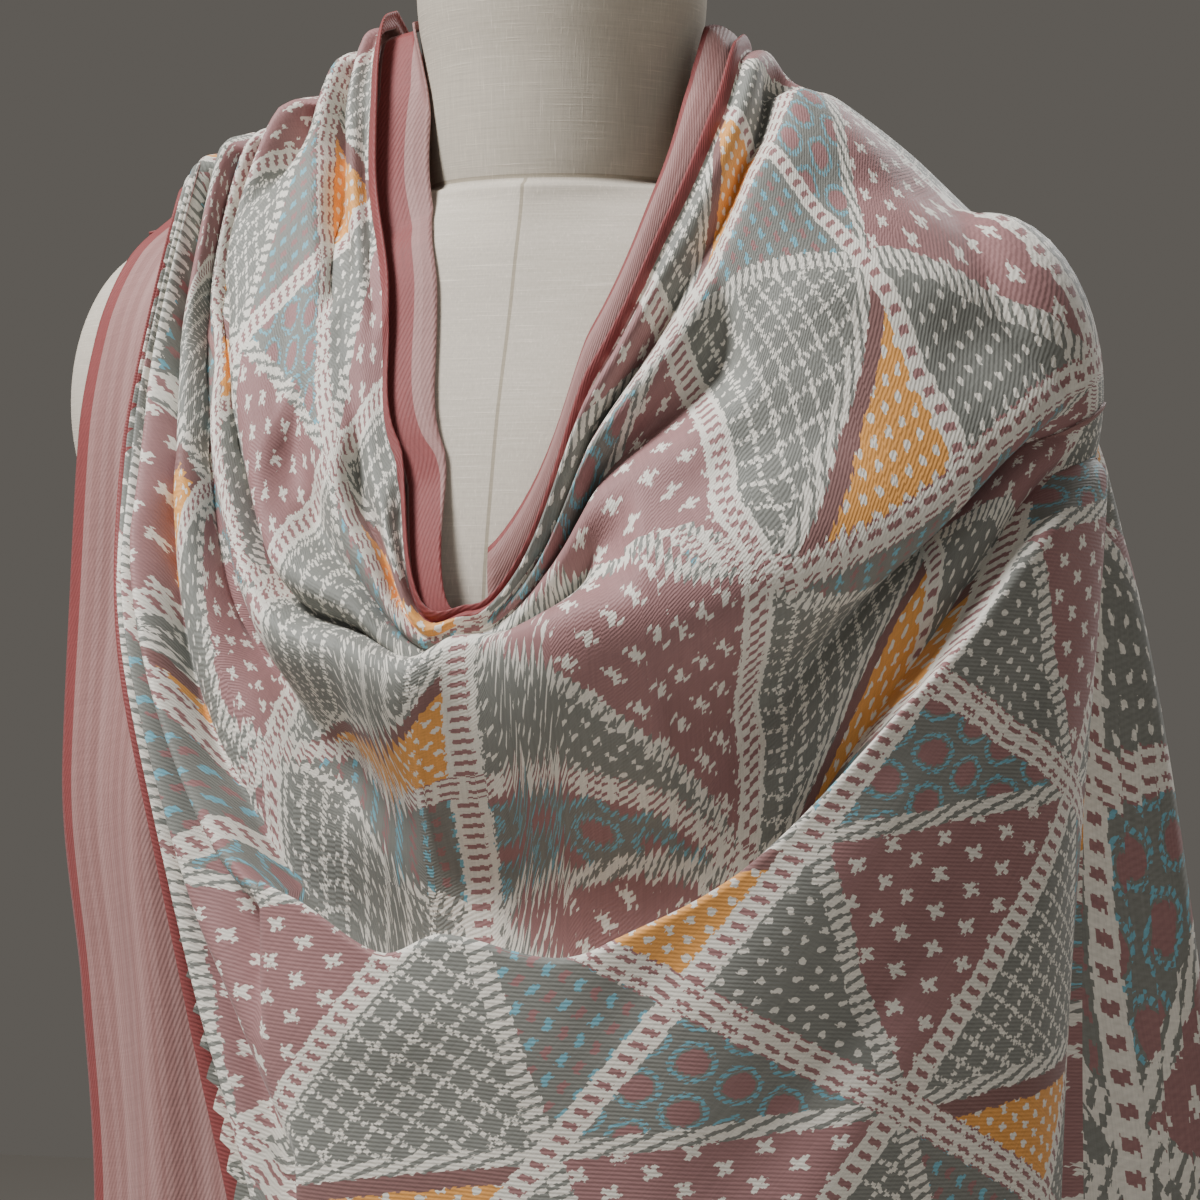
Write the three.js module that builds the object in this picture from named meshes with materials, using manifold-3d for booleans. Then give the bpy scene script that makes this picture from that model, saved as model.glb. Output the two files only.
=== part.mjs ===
// A printed shawl wound round the shoulders of a linen-covered dress form.
// Millimetres, +Z up. The origin is on the floor under the middle of the stand's foot.
// The form faces -Y. Azimuths are degrees from the front, positive towards +X.
import * as THREE from "three";
import Module from "manifold-3d";
import { mergeVertices } from "three/addons/utils/BufferGeometryUtils.js";

const wasm = await Module();
wasm.setup();

// Driving dimensions
const WALL = 2; // cloth thickness
const SEAM = 0.3; // gap between neighbouring pieces
const BODY_CLEAR = 2; // least air between cloth and form
const SHAWL_WIDTH = 720; // cut of the cloth across
const STAND_RADIUS = 190;
const POLE_RADIUS = 14;
const TORSO_BOTTOM = 690;
const FOOT_HEIGHT = 22;
const NECK_TOP = 1448;

const COLOURS = {
  linen: 0xc9c0b2,
  print: 0x8f8583,
  reverse: 0xa37b7a,
  wood: 0x5a4334,
  steel: 0x3c3b3a,
};

const lerp = (a, b, t) => a + (b - a) * t;
const clamp = (v, low, high) => Math.min(Math.max(v, low), high);
const radians = THREE.MathUtils.degToRad;
const ease = (t) => t * t * (3 - 2 * t);

// Value at x of the smooth curve through the knots (xs, ys), with no overshoot.
function smooth(xs, ys, x) {
  const n = xs.length;
  if (x <= xs[0]) return ys[0];
  if (x >= xs[n - 1]) return ys[n - 1];
  let k = 0;
  while (x > xs[k + 1]) k++;
  const slope = (i) => (ys[i + 1] - ys[i]) / (xs[i + 1] - xs[i]);
  const tangent = (i) => {
    if (i === 0) return slope(0);
    if (i === n - 1) return slope(n - 2);
    const a = slope(i - 1);
    const b = slope(i);
    return a * b <= 0 ? 0 : (2 * a * b) / (a + b);
  };
  const w = xs[k + 1] - xs[k];
  const t = (x - xs[k]) / w;
  const a = tangent(k) * w;
  const b = tangent(k + 1) * w;
  const t2 = t * t;
  const t3 = t2 * t;
  return (
    ys[k] * (2 * t3 - 3 * t2 + 1) +
    a * (t3 - 2 * t2 + t) +
    ys[k + 1] * (3 * t2 - 2 * t3) +
    b * (t3 - t2)
  );
}

// The form's own shape: level sections from the hips to the neck.
// z is the height, half the half-width, front and back the depths, power the squareness.
const TORSO = [
  { z: 690, half: 148, front: 90, back: 104, power: 2.2 },
  { z: 800, half: 166, front: 100, back: 120, power: 2.2 },
  { z: 900, half: 141, front: 88, back: 98, power: 2.2 },
  { z: 1000, half: 116, front: 76, back: 74, power: 2.2 },
  { z: 1090, half: 130, front: 92, back: 78, power: 2.3 },
  { z: 1175, half: 150, front: 110, back: 86, power: 2.4 },
  { z: 1250, half: 168, front: 94, back: 90, power: 2.2 },
  { z: 1300, half: 178, front: 74, back: 84, power: 1.9 },
  { z: 1325, half: 178, front: 65, back: 76, power: 1.5 },
  { z: 1337, half: 168, front: 60, back: 70, power: 1.25 },
  { z: 1346, half: 126, front: 57, back: 66, power: 1.15 },
  { z: 1354, half: 84, front: 55, back: 62, power: 1.2 },
];
const TORSO_TOP = 1354;
const ARM_CAP = { x: 170, y: 8, z: 1271, wide: 41, deep: 42, tall: 66 };
const TORSO_Z = TORSO.map((s) => s.z);
const torsoAt = (key, z) => smooth(TORSO_Z, TORSO.map((s) => s[key]), z);

// Distance from the axis to the torso's skin in direction azimuth at height z.
function torsoReach(azimuth, z) {
  const x = Math.abs(Math.sin(radians(azimuth)));
  const c = Math.cos(radians(azimuth));
  const depth = torsoAt(c > 0 ? "front" : "back", z);
  const p = torsoAt("power", z);
  const half = torsoAt("half", z);
  return ((x / half) ** p + (Math.abs(c) / depth) ** p) ** (-1 / p);
}

// How the shawl lies on the form, as profiles that run from the neckline to the hem.
// Each pair is distance from the axis and height: neckline, slope, widest, hang, hem.
const PROFILES = [
  { azimuth: -90, neck: [62, 1398], slope: [110, 1381], wide: [150, 1361], hang: [190, 1150], hem: [190, 740] },
  { azimuth: -75, neck: [64, 1395], slope: [115, 1376], wide: [151, 1352], hang: [190, 1200], hem: [188, 740] },
  { azimuth: -62, neck: [70, 1386], slope: [138, 1308], wide: [176, 1245], hang: [188, 1150], hem: [180, 740] },
  { azimuth: -50, neck: [74, 1362], slope: [141, 1272], wide: [184, 1170], hang: [180, 1100], hem: [172, 740] },
  { azimuth: -35, neck: [82, 1325], slope: [147, 1212], wide: [174, 1118], hang: [168, 980], hem: [162, 740] },
  { azimuth: -20, neck: [101, 1262], slope: [143, 1190], wide: [168, 1092], hang: [163, 960], hem: [157, 740] },
  { azimuth: 0, neck: [122, 1229], slope: [139, 1170], wide: [162, 1081], hang: [158, 980], hem: [152, 740] },
  { azimuth: 20, neck: [83, 1328], slope: [126, 1252], wide: [166, 1077], hang: [164, 960], hem: [162, 740] },
  { azimuth: 40, neck: [75, 1362], slope: [119, 1303], wide: [178, 1108], hang: [176, 960], hem: [176, 740] },
  { azimuth: 60, neck: [67, 1390], slope: [110, 1354], wide: [194, 1172], hang: [190, 1000], hem: [190, 740] },
  { azimuth: 80, neck: [64, 1418], slope: [122, 1373], wide: [212, 1240], hang: [204, 1000], hem: [197, 740] },
  { azimuth: 92, neck: [66, 1420], slope: [140, 1361], wide: [218, 1263], hang: [202, 1022], hem: [192, 740] },
  { azimuth: 101, neck: [68, 1418], slope: [150, 1356], wide: [212, 1270], hang: [190, 1050], hem: [182, 740] },
  { azimuth: 112, neck: [68, 1410], slope: [150, 1348], wide: [216, 1262], hang: [258, 1070], hem: [292, 740] },
  { azimuth: 135, neck: [68, 1402], slope: [135, 1338], wide: [172, 1230], hang: [188, 1000], hem: [206, 740] },
  { azimuth: 180, neck: [68, 1396], slope: [100, 1318], wide: [116, 1220], hang: [128, 1000], hem: [158, 740] },
  { azimuth: 225, neck: [68, 1388], slope: [135, 1330], wide: [164, 1230], hang: [178, 1000], hem: [190, 740] },
  { azimuth: 248, neck: [67, 1380], slope: [150, 1345], wide: [194, 1290], hang: [180, 1100], hem: [176, 740] },
  { azimuth: 270, neck: [66, 1376], slope: [120, 1354], wide: [184, 1342], hang: [205, 1300], hem: [215, 740] },
];
const PROFILE_AZIMUTHS = PROFILES.map((p) => p.azimuth);
const PROFILE_KEYS = ["neck", "slope", "wide", "hang", "hem"];

// Point of the shawl's outer ridges at an azimuth, run millimetres out and down from the neck.
function onWrap(azimuth, run) {
  const knots = PROFILE_KEYS.map((key) =>
    [0, 1].map((axis) => smooth(PROFILE_AZIMUTHS, PROFILES.map((p) => p[key][axis]), azimuth)),
  );
  const runs = [0];
  for (let k = 1; k < knots.length; k++)
    runs.push(
      runs[k - 1] + Math.abs(knots[k][0] - knots[k - 1][0]) + Math.abs(knots[k][1] - knots[k - 1][1]),
    );
  const reach = smooth(runs, knots.map((k) => k[0]), run);
  const height = smooth(runs, knots.map((k) => k[1]), run);
  return new THREE.Vector3(
    reach * Math.sin(radians(azimuth)),
    -reach * Math.cos(radians(azimuth)),
    height,
  );
}

// The folds of the print side, from the neckline down, as they cross the profiles.
// across is the place in the cloth's width. The columns give the run at each azimuth.
const FOLD_AZIMUTHS = [-90, -75, -62, -50, -35, -20, 0, 20, 40, 60, 80, 92, 101, 112];
const FOLDS = [
  { name: "neck edge", across: 0, run: [3, 5, 10, 12, 13, 14, 20, 72, 37, 20, 12, 10, 8, 6] },
  { name: "neck roll", across: 35, run: [14, 17, 26, 32, 42, 46, 34, 92, 58, 36, 28, 26, 24, 20] },
  { name: "collar pleat", across: 95, run: [27, 32, 50, 64, 100, 78, 48, 121, 103, 66, 58, 72, 60, 50] },
  { name: "rail pleat", across: 160, run: [60, 68, 132, 150, 172, 108, 62, 150, 168, 173, 156, 150, 140, 120] },
  { name: "upper swag", across: 225, run: [76, 84, 152, 176, 196, 130, 80, 207, 251, 282, 290, 284, 270, 240] },
  { name: "pocket fold", across: 285, run: [90, 98, 172, 214, 243, 185, 150, 285, 318, 320, 314, 308, 310, 320] },
  { name: "lower swag", across: 350, run: [106, 112, 205, 262, 302, 240, 190, 334, 357, 350, 342, 336, 350, 400] },
  { name: "skirt fold", across: 450, run: [114, 119, 222, 285, 350, 330, 285, 430, 450, 450, 460, 470, 480, 520] },
  { name: "low pinch", across: 580, run: [122, 126, 236, 300, 392, 412, 410, 560, 585, 610, 640, 655, 660, 690] },
  { name: "hem", across: SHAWL_WIDTH, run: [130, 133, 249, 316, 428, 494, 538, 676, 728, 785, 848, 866, 880, 900] },
];

// How far some folds sink behind the others, and how deep the trough after each fold may be.
const SINKS = {
  "upper swag": [2, 4, 7, 5, 2, 0, 0, 0, 1, 3, 4, 3, 3, 3],
  "pocket fold": [0, 0, 0, 0, 0, 2, 26, 28, 18, 7, 2, 2, 2, 2],
};
const TROUGHS = {
  "neck edge": 4,
  "neck roll": 13,
  "collar pleat": 9,
  "rail pleat": 11,
  "upper swag": 24,
  "pocket fold": 9,
  "lower swag": 12,
  "skirt fold": 8,
  "low pinch": 7,
};
const FLARE = 112; // azimuth of the flare behind the arm, where the back begins
const FLARE_FADE = 14; // degrees over which the front's folds die out there
const BEND_LIMIT = 0.012; // depth allowed for each square millimetre of spacing
const FOLD_COUNT = FOLDS.length - 1;
const FOLD_RUNS = FOLDS.map((f) => f.run);
const foldRun = (j, azimuth) => smooth(FOLD_AZIMUTHS, FOLD_RUNS[j], azimuth);
const foldSink = (j, azimuth) =>
  SINKS[FOLDS[j].name] ? smooth(FOLD_AZIMUTHS, SINKS[FOLDS[j].name], azimuth) : 0;

// Depth of the trough between fold j and the next one where they lie gap apart:
// the cloth between them keeps its width, so it sinks where the folds close up.
function troughDepth(j, gap) {
  const width = FOLDS[j + 1].across - FOLDS[j].across;
  const slack = Math.sqrt(Math.max(width * width - gap * gap, 0)) / 2;
  return Math.min(TROUGHS[FOLDS[j].name], slack, BEND_LIMIT * gap * gap);
}

// How far the print side lies inside its ridges at an azimuth, s folds below the neckline.
function foldDepth(azimuth, s) {
  const j = clamp(Math.floor(s), 0, FOLDS.length - 2);
  const t = s - j;
  const here = onWrap(azimuth, foldRun(j, azimuth));
  const next = onWrap(azimuth, foldRun(j + 1, azimuth));
  const trough = troughDepth(j, here.distanceTo(next));
  const wave = (1 - Math.cos(2 * Math.PI * t)) / 2;
  const sink = lerp(foldSink(j, azimuth), foldSink(j + 1, azimuth), ease(t));
  return (sink + trough * wave) * clamp((FLARE - azimuth) / FLARE_FADE, 0, 1);
}

// The print side without its depth, s folds below the neckline.
function onRidges(azimuth, s) {
  const j = clamp(Math.floor(s), 0, FOLDS.length - 2);
  return onWrap(azimuth, lerp(foldRun(j, azimuth), foldRun(j + 1, azimuth), s - j));
}

// Outward normal of a surface point(u, v), whose v runs down as u runs towards +azimuth.
function normalOf(point, u, v, du, dv) {
  const along = point(u + du, v).sub(point(u - du, v));
  const down = point(u, v + dv).sub(point(u, v - dv));
  return down.cross(along).normalize();
}

// Keeps a point of the cloth's outer side clear of the form, with its wall between them,
// and over it another layer when layers is 2.
function clearOfForm(point, layers = 1) {
  const room = layers * (WALL + BODY_CLEAR);
  const azimuth = THREE.MathUtils.radToDeg(Math.atan2(point.x, -point.y));
  const reach = Math.hypot(point.x, point.y);
  if (point.z < TORSO_TOP) {
    const least = torsoReach(azimuth, point.z) + room;
    if (reach < least) point.multiply(new THREE.Vector3(least / reach, least / reach, 1));
  }
  const middle = new THREE.Vector3(Math.sign(point.x) * ARM_CAP.x, ARM_CAP.y, ARM_CAP.z);
  const size = new THREE.Vector3(ARM_CAP.wide, ARM_CAP.deep, ARM_CAP.tall).addScalar(room + 1);
  const inside = point.clone().sub(middle).divide(size);
  if (inside.length() < 1) point.copy(inside.normalize().multiply(size).add(middle));
  return point;
}

// The print side lies over a second layer at the left shoulder and along the neckline.
function frontLayers(azimuth, s) {
  return 1 + Math.max(ease(clamp((-28 - azimuth) / 14, 0, 1)), ease(clamp(1.6 - s, 0, 1)));
}
function frontCloth(azimuth, s) {
  const normal = normalOf(onRidges, azimuth, clamp(s, 0.05, 8.95), 1.5, 0.05);
  const point = onRidges(azimuth, s).addScaledVector(normal, -foldDepth(azimuth, s));
  return clearOfForm(point, frontLayers(azimuth, s));
}

// The cloth behind: a plain ring of soft vertical folds from the right flare to the left shoulder.
const BACK_FOLDS = 9;
const BACK_FOLD_DEPTH = 9;
const BACK_END = 270;
function backEdgeRun(azimuth) {
  return smooth([112, 135, 180, 225, 240, 248, 256, 270], [900, 860, 800, 830, 800, 420, 190, 140], azimuth);
}
function backRidges(azimuth, t) {
  return onWrap(azimuth, lerp(6, backEdgeRun(azimuth), t));
}
function backCloth(azimuth, t) {
  const share = (azimuth - FLARE) / (BACK_END - FLARE);
  const wave = (1 - Math.cos(2 * Math.PI * BACK_FOLDS * share)) / 2;
  const open = ease(clamp((t - 0.2) / 0.7, 0, 1));
  const normal = normalOf(backRidges, azimuth, clamp(t, 0.01, 0.99), 1.5, 0.01);
  return clearOfForm(
    backRidges(azimuth, t).addScaledVector(normal, -BACK_FOLD_DEPTH * open * wave),
  );
}

// A closed wall over point(u, v), nu by nv cells between the given limits. Seen from outside,
// v runs down as u runs to the right, and the inner side lies WALL deeper.
// du and dv are the steps over which the surface's slope is taken.
function clothWall(point, [u0, u1], nu, [v0, v1], nv, du, dv) {
  const outside = [];
  const inside = [];
  for (let i = 0; i <= nu; i++)
    for (let j = 0; j <= nv; j++) {
      const u = lerp(u0, u1, i / nu);
      const v = lerp(v0, v1, j / nv);
      const normal = normalOf(point, u, v, du, dv);
      outside.push(point(u, v));
      inside.push(point(u, v).addScaledVector(normal, -WALL));
    }
  const outer = (i, j) => i * (nv + 1) + j;
  const inner = (i, j) => outside.length + outer(i, j);
  const faces = [];
  const quad = (a, b, c, d) => faces.push([a, b, c], [a, c, d]);
  for (let i = 0; i < nu; i++)
    for (let j = 0; j < nv; j++) {
      quad(outer(i, j), outer(i, j + 1), outer(i + 1, j + 1), outer(i + 1, j));
      quad(inner(i, j), inner(i + 1, j), inner(i + 1, j + 1), inner(i, j + 1));
    }
  for (let i = 0; i < nu; i++) {
    quad(outer(i, 0), outer(i + 1, 0), inner(i + 1, 0), inner(i, 0));
    quad(outer(i, nv), inner(i, nv), inner(i + 1, nv), outer(i + 1, nv));
  }
  for (let j = 0; j < nv; j++) {
    quad(outer(0, j), inner(0, j), inner(0, j + 1), outer(0, j + 1));
    quad(outer(nu, j), outer(nu, j + 1), inner(nu, j + 1), inner(nu, j));
  }
  const geometry = new THREE.BufferGeometry();
  const points = [...outside, ...inside].flatMap((p) => p.toArray());
  geometry.setAttribute("position", new THREE.Float32BufferAttribute(points, 3));
  geometry.setIndex(faces.flat());
  return geometry;
}

const group = new THREE.Group();
function addMesh(name, geometry, colour, roughness = 0.9, metalness = 0) {
  const material = new THREE.MeshStandardMaterial({ color: colour, roughness, metalness });
  const mesh = new THREE.Mesh(geometry, material);
  mesh.name = name;
  group.add(mesh);
}

// A closed solid through level rings of points, each ring given from its lowest to its highest.
function loft(rings) {
  const n = rings[0].length;
  const points = rings.flat();
  const faces = [];
  for (let k = 0; k < rings.length - 1; k++)
    for (let i = 0; i < n; i++) {
      const a = k * n + i;
      const b = k * n + ((i + 1) % n);
      faces.push([a, b, b + n], [a, b + n, a + n]);
    }
  for (const [k, turned] of [[0, true], [rings.length - 1, false]]) {
    const centre = new THREE.Vector3();
    rings[k].forEach((p) => centre.addScaledVector(p, 1 / n));
    points.push(centre);
    for (let i = 0; i < n; i++) {
      const a = k * n + i;
      const b = k * n + ((i + 1) % n);
      faces.push(turned ? [b, a, points.length - 1] : [a, b, points.length - 1]);
    }
  }
  const geometry = new THREE.BufferGeometry();
  geometry.setAttribute(
    "position",
    new THREE.Float32BufferAttribute(points.map((p) => p.toArray()).flat(), 3),
  );
  geometry.setIndex(faces.flat());
  return geometry;
}

function solidOf(geometry) {
  const plain = geometry.clone();
  plain.deleteAttribute("normal");
  plain.deleteAttribute("uv");
  const merged = mergeVertices(plain, 1e-4);
  return new wasm.Manifold(
    new wasm.Mesh({
      numProp: 3,
      vertProperties: merged.attributes.position.array,
      triVerts: new Uint32Array(merged.index.array),
    }),
  );
}

function geometryOf(solid) {
  const mesh = solid.getMesh();
  const geometry = new THREE.BufferGeometry();
  geometry.setAttribute("position", new THREE.BufferAttribute(mesh.vertProperties, 3));
  geometry.setIndex(new THREE.BufferAttribute(mesh.triVerts, 1));
  return geometry;
}

// Dress form
const RING_POINTS = 26;
const NECK = [
  { z: 1330, radius: 50, y: 2 },
  { z: 1362, radius: 53, y: 1 },
  { z: 1400, radius: 55, y: 0 },
  { z: 1432, radius: 58, y: 0 },
];
function torsoRing(z) {
  return Array.from({ length: RING_POINTS }, (_, i) => {
    const azimuth = (360 * i) / RING_POINTS;
    const reach = torsoReach(azimuth, z);
    return new THREE.Vector3(
      reach * Math.sin(radians(azimuth)),
      -reach * Math.cos(radians(azimuth)),
      z,
    );
  });
}
function neckRing({ z, radius, y }) {
  return Array.from({ length: RING_POINTS }, (_, i) => {
    const turn = (2 * Math.PI * i) / RING_POINTS;
    return new THREE.Vector3(radius * Math.sin(turn), y - radius * Math.cos(turn), z);
  });
}
function armCap(side) {
  const cap = new THREE.SphereGeometry(1, 14, 10);
  cap.rotateX(Math.PI / 2);
  cap.scale(ARM_CAP.wide, ARM_CAP.deep, ARM_CAP.tall);
  cap.translate(side * ARM_CAP.x, ARM_CAP.y, ARM_CAP.z);
  return cap;
}
function buildForm() {
  const levels = [690, 745, 800, 850, 900, 950, 1000, 1045, 1090, 1130, 1175, 1215, 1250, 1280, 1305, 1325, 1337, 1346, TORSO_TOP];
  const body = solidOf(loft(levels.map(torsoRing)))
    .add(solidOf(loft(NECK.map(neckRing))))
    .add(solidOf(armCap(-1)))
    .add(solidOf(armCap(1)));
  addMesh("form_torso", geometryOf(body), COLOURS.linen);
  const cap = new THREE.LatheGeometry(
    [
      [0, 1432 + SEAM],
      [55, 1432 + SEAM],
      [56, 1438],
      [50, 1445],
      [30, NECK_TOP],
      [0, NECK_TOP],
    ].map(([r, z]) => new THREE.Vector2(r, z)),
    32,
  );
  cap.rotateX(Math.PI / 2);
  addMesh("form_neck_cap", cap, COLOURS.linen);
}

function turned(profile, segments) {
  const solid = new THREE.LatheGeometry(
    profile.map(([r, z]) => new THREE.Vector2(r, z)),
    segments,
  );
  return solid.rotateX(Math.PI / 2);
}
function buildStand() {
  addMesh(
    "stand_foot",
    turned(
      [
        [0, 0],
        [STAND_RADIUS - 3, 0],
        [STAND_RADIUS, 3],
        [STAND_RADIUS, 8],
        [STAND_RADIUS - 20, 13],
        [40, FOOT_HEIGHT],
        [0, FOOT_HEIGHT],
      ],
      40,
    ),
    COLOURS.steel,
    0.45,
    0.6,
  );
  addMesh(
    "stand_pole",
    turned(
      [
        [0, FOOT_HEIGHT + SEAM],
        [POLE_RADIUS, FOOT_HEIGHT + SEAM],
        [POLE_RADIUS, TORSO_BOTTOM - 12 - SEAM],
        [0, TORSO_BOTTOM - 12 - SEAM],
      ],
      20,
    ),
    COLOURS.steel,
    0.4,
    0.7,
  );
  addMesh(
    "form_base_plate",
    turned(
      [
        [0, TORSO_BOTTOM - 12],
        [92, TORSO_BOTTOM - 12],
        [92, TORSO_BOTTOM - SEAM],
        [0, TORSO_BOTTOM - SEAM],
      ],
      32,
    ),
    COLOURS.wood,
    0.5,
  );
}

buildForm();
buildStand();

// The end that is thrown over the left shoulder hangs down the back outside the back drape.
// inner is its edge by the spine and outer its edge by the arm, as azimuth and run.
const THROWN = [
  { down: 0.13, inner: [222, 34], outer: [249, 164] },
  { down: 0.3, inner: [200, 146], outer: [240, 256] },
  { down: 0.6, inner: [191, 360], outer: [241, 430] },
  { down: 1, inner: [183, 616], outer: [243, 650] },
];
const THROWN_LIFT = 17; // how far its ridges lie outside the back drape's
const THROWN_FOLDS = 6;
const THROWN_DEPTH = 9;
function thrownRidge(s, down) {
  const share = s / FOLD_COUNT;
  const rows = [frontCloth(-90, s)];
  for (const level of THROWN) {
    const azimuth = lerp(level.inner[0], level.outer[0], share);
    const run = lerp(level.inner[1], level.outer[1], share);
    const normal = normalOf(onWrap, azimuth, run, 2, 4);
    rows.push(onWrap(azimuth, run).addScaledVector(normal, THROWN_LIFT));
  }
  const downs = [0, ...THROWN.map((level) => level.down)];
  return new THREE.Vector3(
    ...["x", "y", "z"].map((key) => smooth(downs, rows.map((p) => p[key]), down)),
  );
}
function thrownCloth(down, s) {
  const wave = (1 - Math.cos((2 * Math.PI * THROWN_FOLDS * s) / FOLD_COUNT)) / 2;
  const point = (u, v) => thrownRidge(v, u);
  const normal = normalOf(point, down, clamp(s, 0.05, FOLD_COUNT - 0.05), 0.01, 0.05);
  return clearOfForm(
    thrownRidge(s, down).addScaledVector(normal, THROWN_DEPTH * wave * ease(clamp(down * 4, 0, 1))),
  );
}

// The other end hangs in front of the left arm with its reverse side out, under the pleats.
// Rows run from the shoulder down; edge is its free edge, inner lies behind the print.
const UNDER_END = [
  { down: 0, edge: [-186, -4, 1345], middle: [-150, -4, 1351], inner: [-118, -4, 1357] },
  { down: 0.05, edge: [-193, -20, 1326], middle: [-151, -32, 1331], inner: [-114, -34, 1340] },
  { down: 0.1, edge: [-195, -34, 1297], middle: [-150, -52, 1299], inner: [-112, -52, 1304] },
  { down: 0.17, edge: [-193, -47, 1255], middle: [-147, -66, 1252], inner: [-106, -72, 1254] },
  { down: 0.28, edge: [-187, -59, 1189], middle: [-144, -76, 1184], inner: [-98, -80, 1186] },
  { down: 0.38, edge: [-187, -66, 1125], middle: [-142, -88, 1118], inner: [-92, -88, 1118] },
  { down: 0.55, edge: [-177, -70, 1036], middle: [-132, -96, 1030], inner: [-84, -100, 1030] },
  { down: 0.72, edge: [-170, -74, 950], middle: [-126, -100, 944], inner: [-78, -104, 944] },
  { down: 1, edge: [-168, -84, 768], middle: [-124, -108, 762], inner: [-74, -112, 762] },
];
function underCloth(share, down) {
  const downs = UNDER_END.map((row) => row.down);
  const columns = ["edge", "middle", "inner"].map((key) =>
    [0, 1, 2].map((axis) => smooth(downs, UNDER_END.map((row) => row[key][axis]), down)),
  );
  const [x, y, z] = [0, 1, 2].map((axis) => smooth([0, 0.5, 1], columns.map((c) => c[axis]), share));
  return clearOfForm(new THREE.Vector3(x, y, z), 1.7);
}

// The reverse side shows as a narrow band inside the neckline, under the print's turned edge.
const BAND_TUCK = 8; // how far it reaches under the print
const BAND_DEPTH = { left: 8, right: 7.3 }; // how deep its hidden side lies
const BAND_SEAM = 2; // azimuth of the neckline's lowest point, where its halves meet
function neckBand(azimuth, share) {
  const edge = foldRun(0, azimuth);
  const run = lerp(0, edge + BAND_TUCK, share);
  const normal = normalOf(onWrap, azimuth, run, 1.5, 2);
  const tucked = azimuth > BAND_SEAM ? BAND_DEPTH.right : BAND_DEPTH.left;
  const depth = lerp(2, tucked, ease(share)) - 1.5 * Math.sin(Math.PI * share);
  return clearOfForm(onWrap(azimuth, run).addScaledVector(normal, -depth), 1.2);
}

// Stretches of the shawl, from the shoulder pleats round to the back.
const CHEST = -38; // azimuth where the pleats spread into the swag
const CAPE = 72; // azimuth where the swag meets the cape
const HALF_SEAM = 0.35; // degrees, so that no seam closes where the cloth lies near the neck
const allFolds = [0, FOLD_COUNT];
addMesh(
  "shoulder_pleats",
  clothWall(frontCloth, [-90 + HALF_SEAM / 3, CHEST - 2 * HALF_SEAM], 12, allFolds, 45, 1, 0.06),
  COLOURS.print,
);
addMesh(
  "front_swag",
  clothWall(frontCloth, [CHEST + HALF_SEAM, CAPE - HALF_SEAM], 22, allFolds, 45, 1, 0.06),
  COLOURS.print,
);
addMesh(
  "right_cape",
  clothWall(frontCloth, [CAPE + HALF_SEAM, FLARE - HALF_SEAM], 9, allFolds, 45, 1, 0.06),
  COLOURS.print,
);
addMesh(
  "back_drape",
  clothWall(backCloth, [FLARE + HALF_SEAM, BACK_END], 36, [0, 1], 10, 1, 0.02),
  COLOURS.print,
);
addMesh("thrown_end", clothWall(thrownCloth, [0.0004, 1], 12, allFolds, 24, 0.01, 0.06), COLOURS.print);
addMesh("under_end", clothWall(underCloth, [0, 1], 8, [0, 1], 14, 0.05, 0.02), COLOURS.reverse);
addMesh("neck_band_right", clothWall(neckBand, [BAND_SEAM + HALF_SEAM, 108], 16, [0, 1], 3, 1, 0.1), COLOURS.reverse);
addMesh("neck_band_left", clothWall(neckBand, [-88, BAND_SEAM - HALF_SEAM], 14, [0, 1], 3, 1, 0.1), COLOURS.reverse);

export default group;
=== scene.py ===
# A printed shawl wound round the shoulders of a linen-covered dress form.
# The cloth is rebuilt here as thin sheets from the same profiles and folds as the solids,
# finer and with its creases, and the print is charted as a patchwork of triangles.
import math

import bpy
import numpy as np
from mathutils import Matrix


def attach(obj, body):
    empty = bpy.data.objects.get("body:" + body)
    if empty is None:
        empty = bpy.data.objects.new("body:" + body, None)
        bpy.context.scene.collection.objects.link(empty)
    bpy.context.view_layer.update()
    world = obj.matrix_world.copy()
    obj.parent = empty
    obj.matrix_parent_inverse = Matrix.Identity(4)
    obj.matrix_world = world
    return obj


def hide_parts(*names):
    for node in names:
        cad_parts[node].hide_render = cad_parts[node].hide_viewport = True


MM = 0.001
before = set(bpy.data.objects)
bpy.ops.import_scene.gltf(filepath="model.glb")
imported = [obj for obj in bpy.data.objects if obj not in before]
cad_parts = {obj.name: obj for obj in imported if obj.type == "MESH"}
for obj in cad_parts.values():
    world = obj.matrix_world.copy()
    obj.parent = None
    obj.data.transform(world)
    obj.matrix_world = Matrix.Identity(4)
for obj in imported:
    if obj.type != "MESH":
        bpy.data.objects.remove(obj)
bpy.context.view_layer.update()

# Camera, at the photo's viewing angle. Sizes in millimetres and degrees.
VIEW_AZIMUTH = 15
VIEW_DISTANCE = 1500
FRAME_WIDTH = 480  # what the picture's width covers at the form's axis
SENSOR = 36
VIEW_TARGET = (14.7, 3.9, 1190)

# The cut of the shawl
SHAWL_WIDTH = 720
CLOTH = 0.9  # thickness
BIAS = 0.8  # cloth for each length that shows across the chest, where the bias stretches it
BIAS_AT = {"azimuth": [-10, 4, 34, 50], "share": [1, BIAS, BIAS, 1]}


def add_camera():
    turn = math.radians(VIEW_AZIMUTH)
    x, y, z = VIEW_TARGET
    data = bpy.data.cameras.new("camera")
    data.sensor_width = SENSOR
    data.lens = SENSOR * VIEW_DISTANCE / FRAME_WIDTH
    camera = bpy.data.objects.new("camera", data)
    camera.location = (
        (x + VIEW_DISTANCE * math.sin(turn)) * MM,
        (y - VIEW_DISTANCE * math.cos(turn)) * MM,
        z * MM,
    )
    camera.rotation_euler = (math.pi / 2, 0, turn)
    bpy.context.collection.objects.link(camera)
    bpy.context.scene.camera = camera


# Curves and the shape of the wrap
def column(table, k):
    return [row[k] for row in table]


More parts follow.
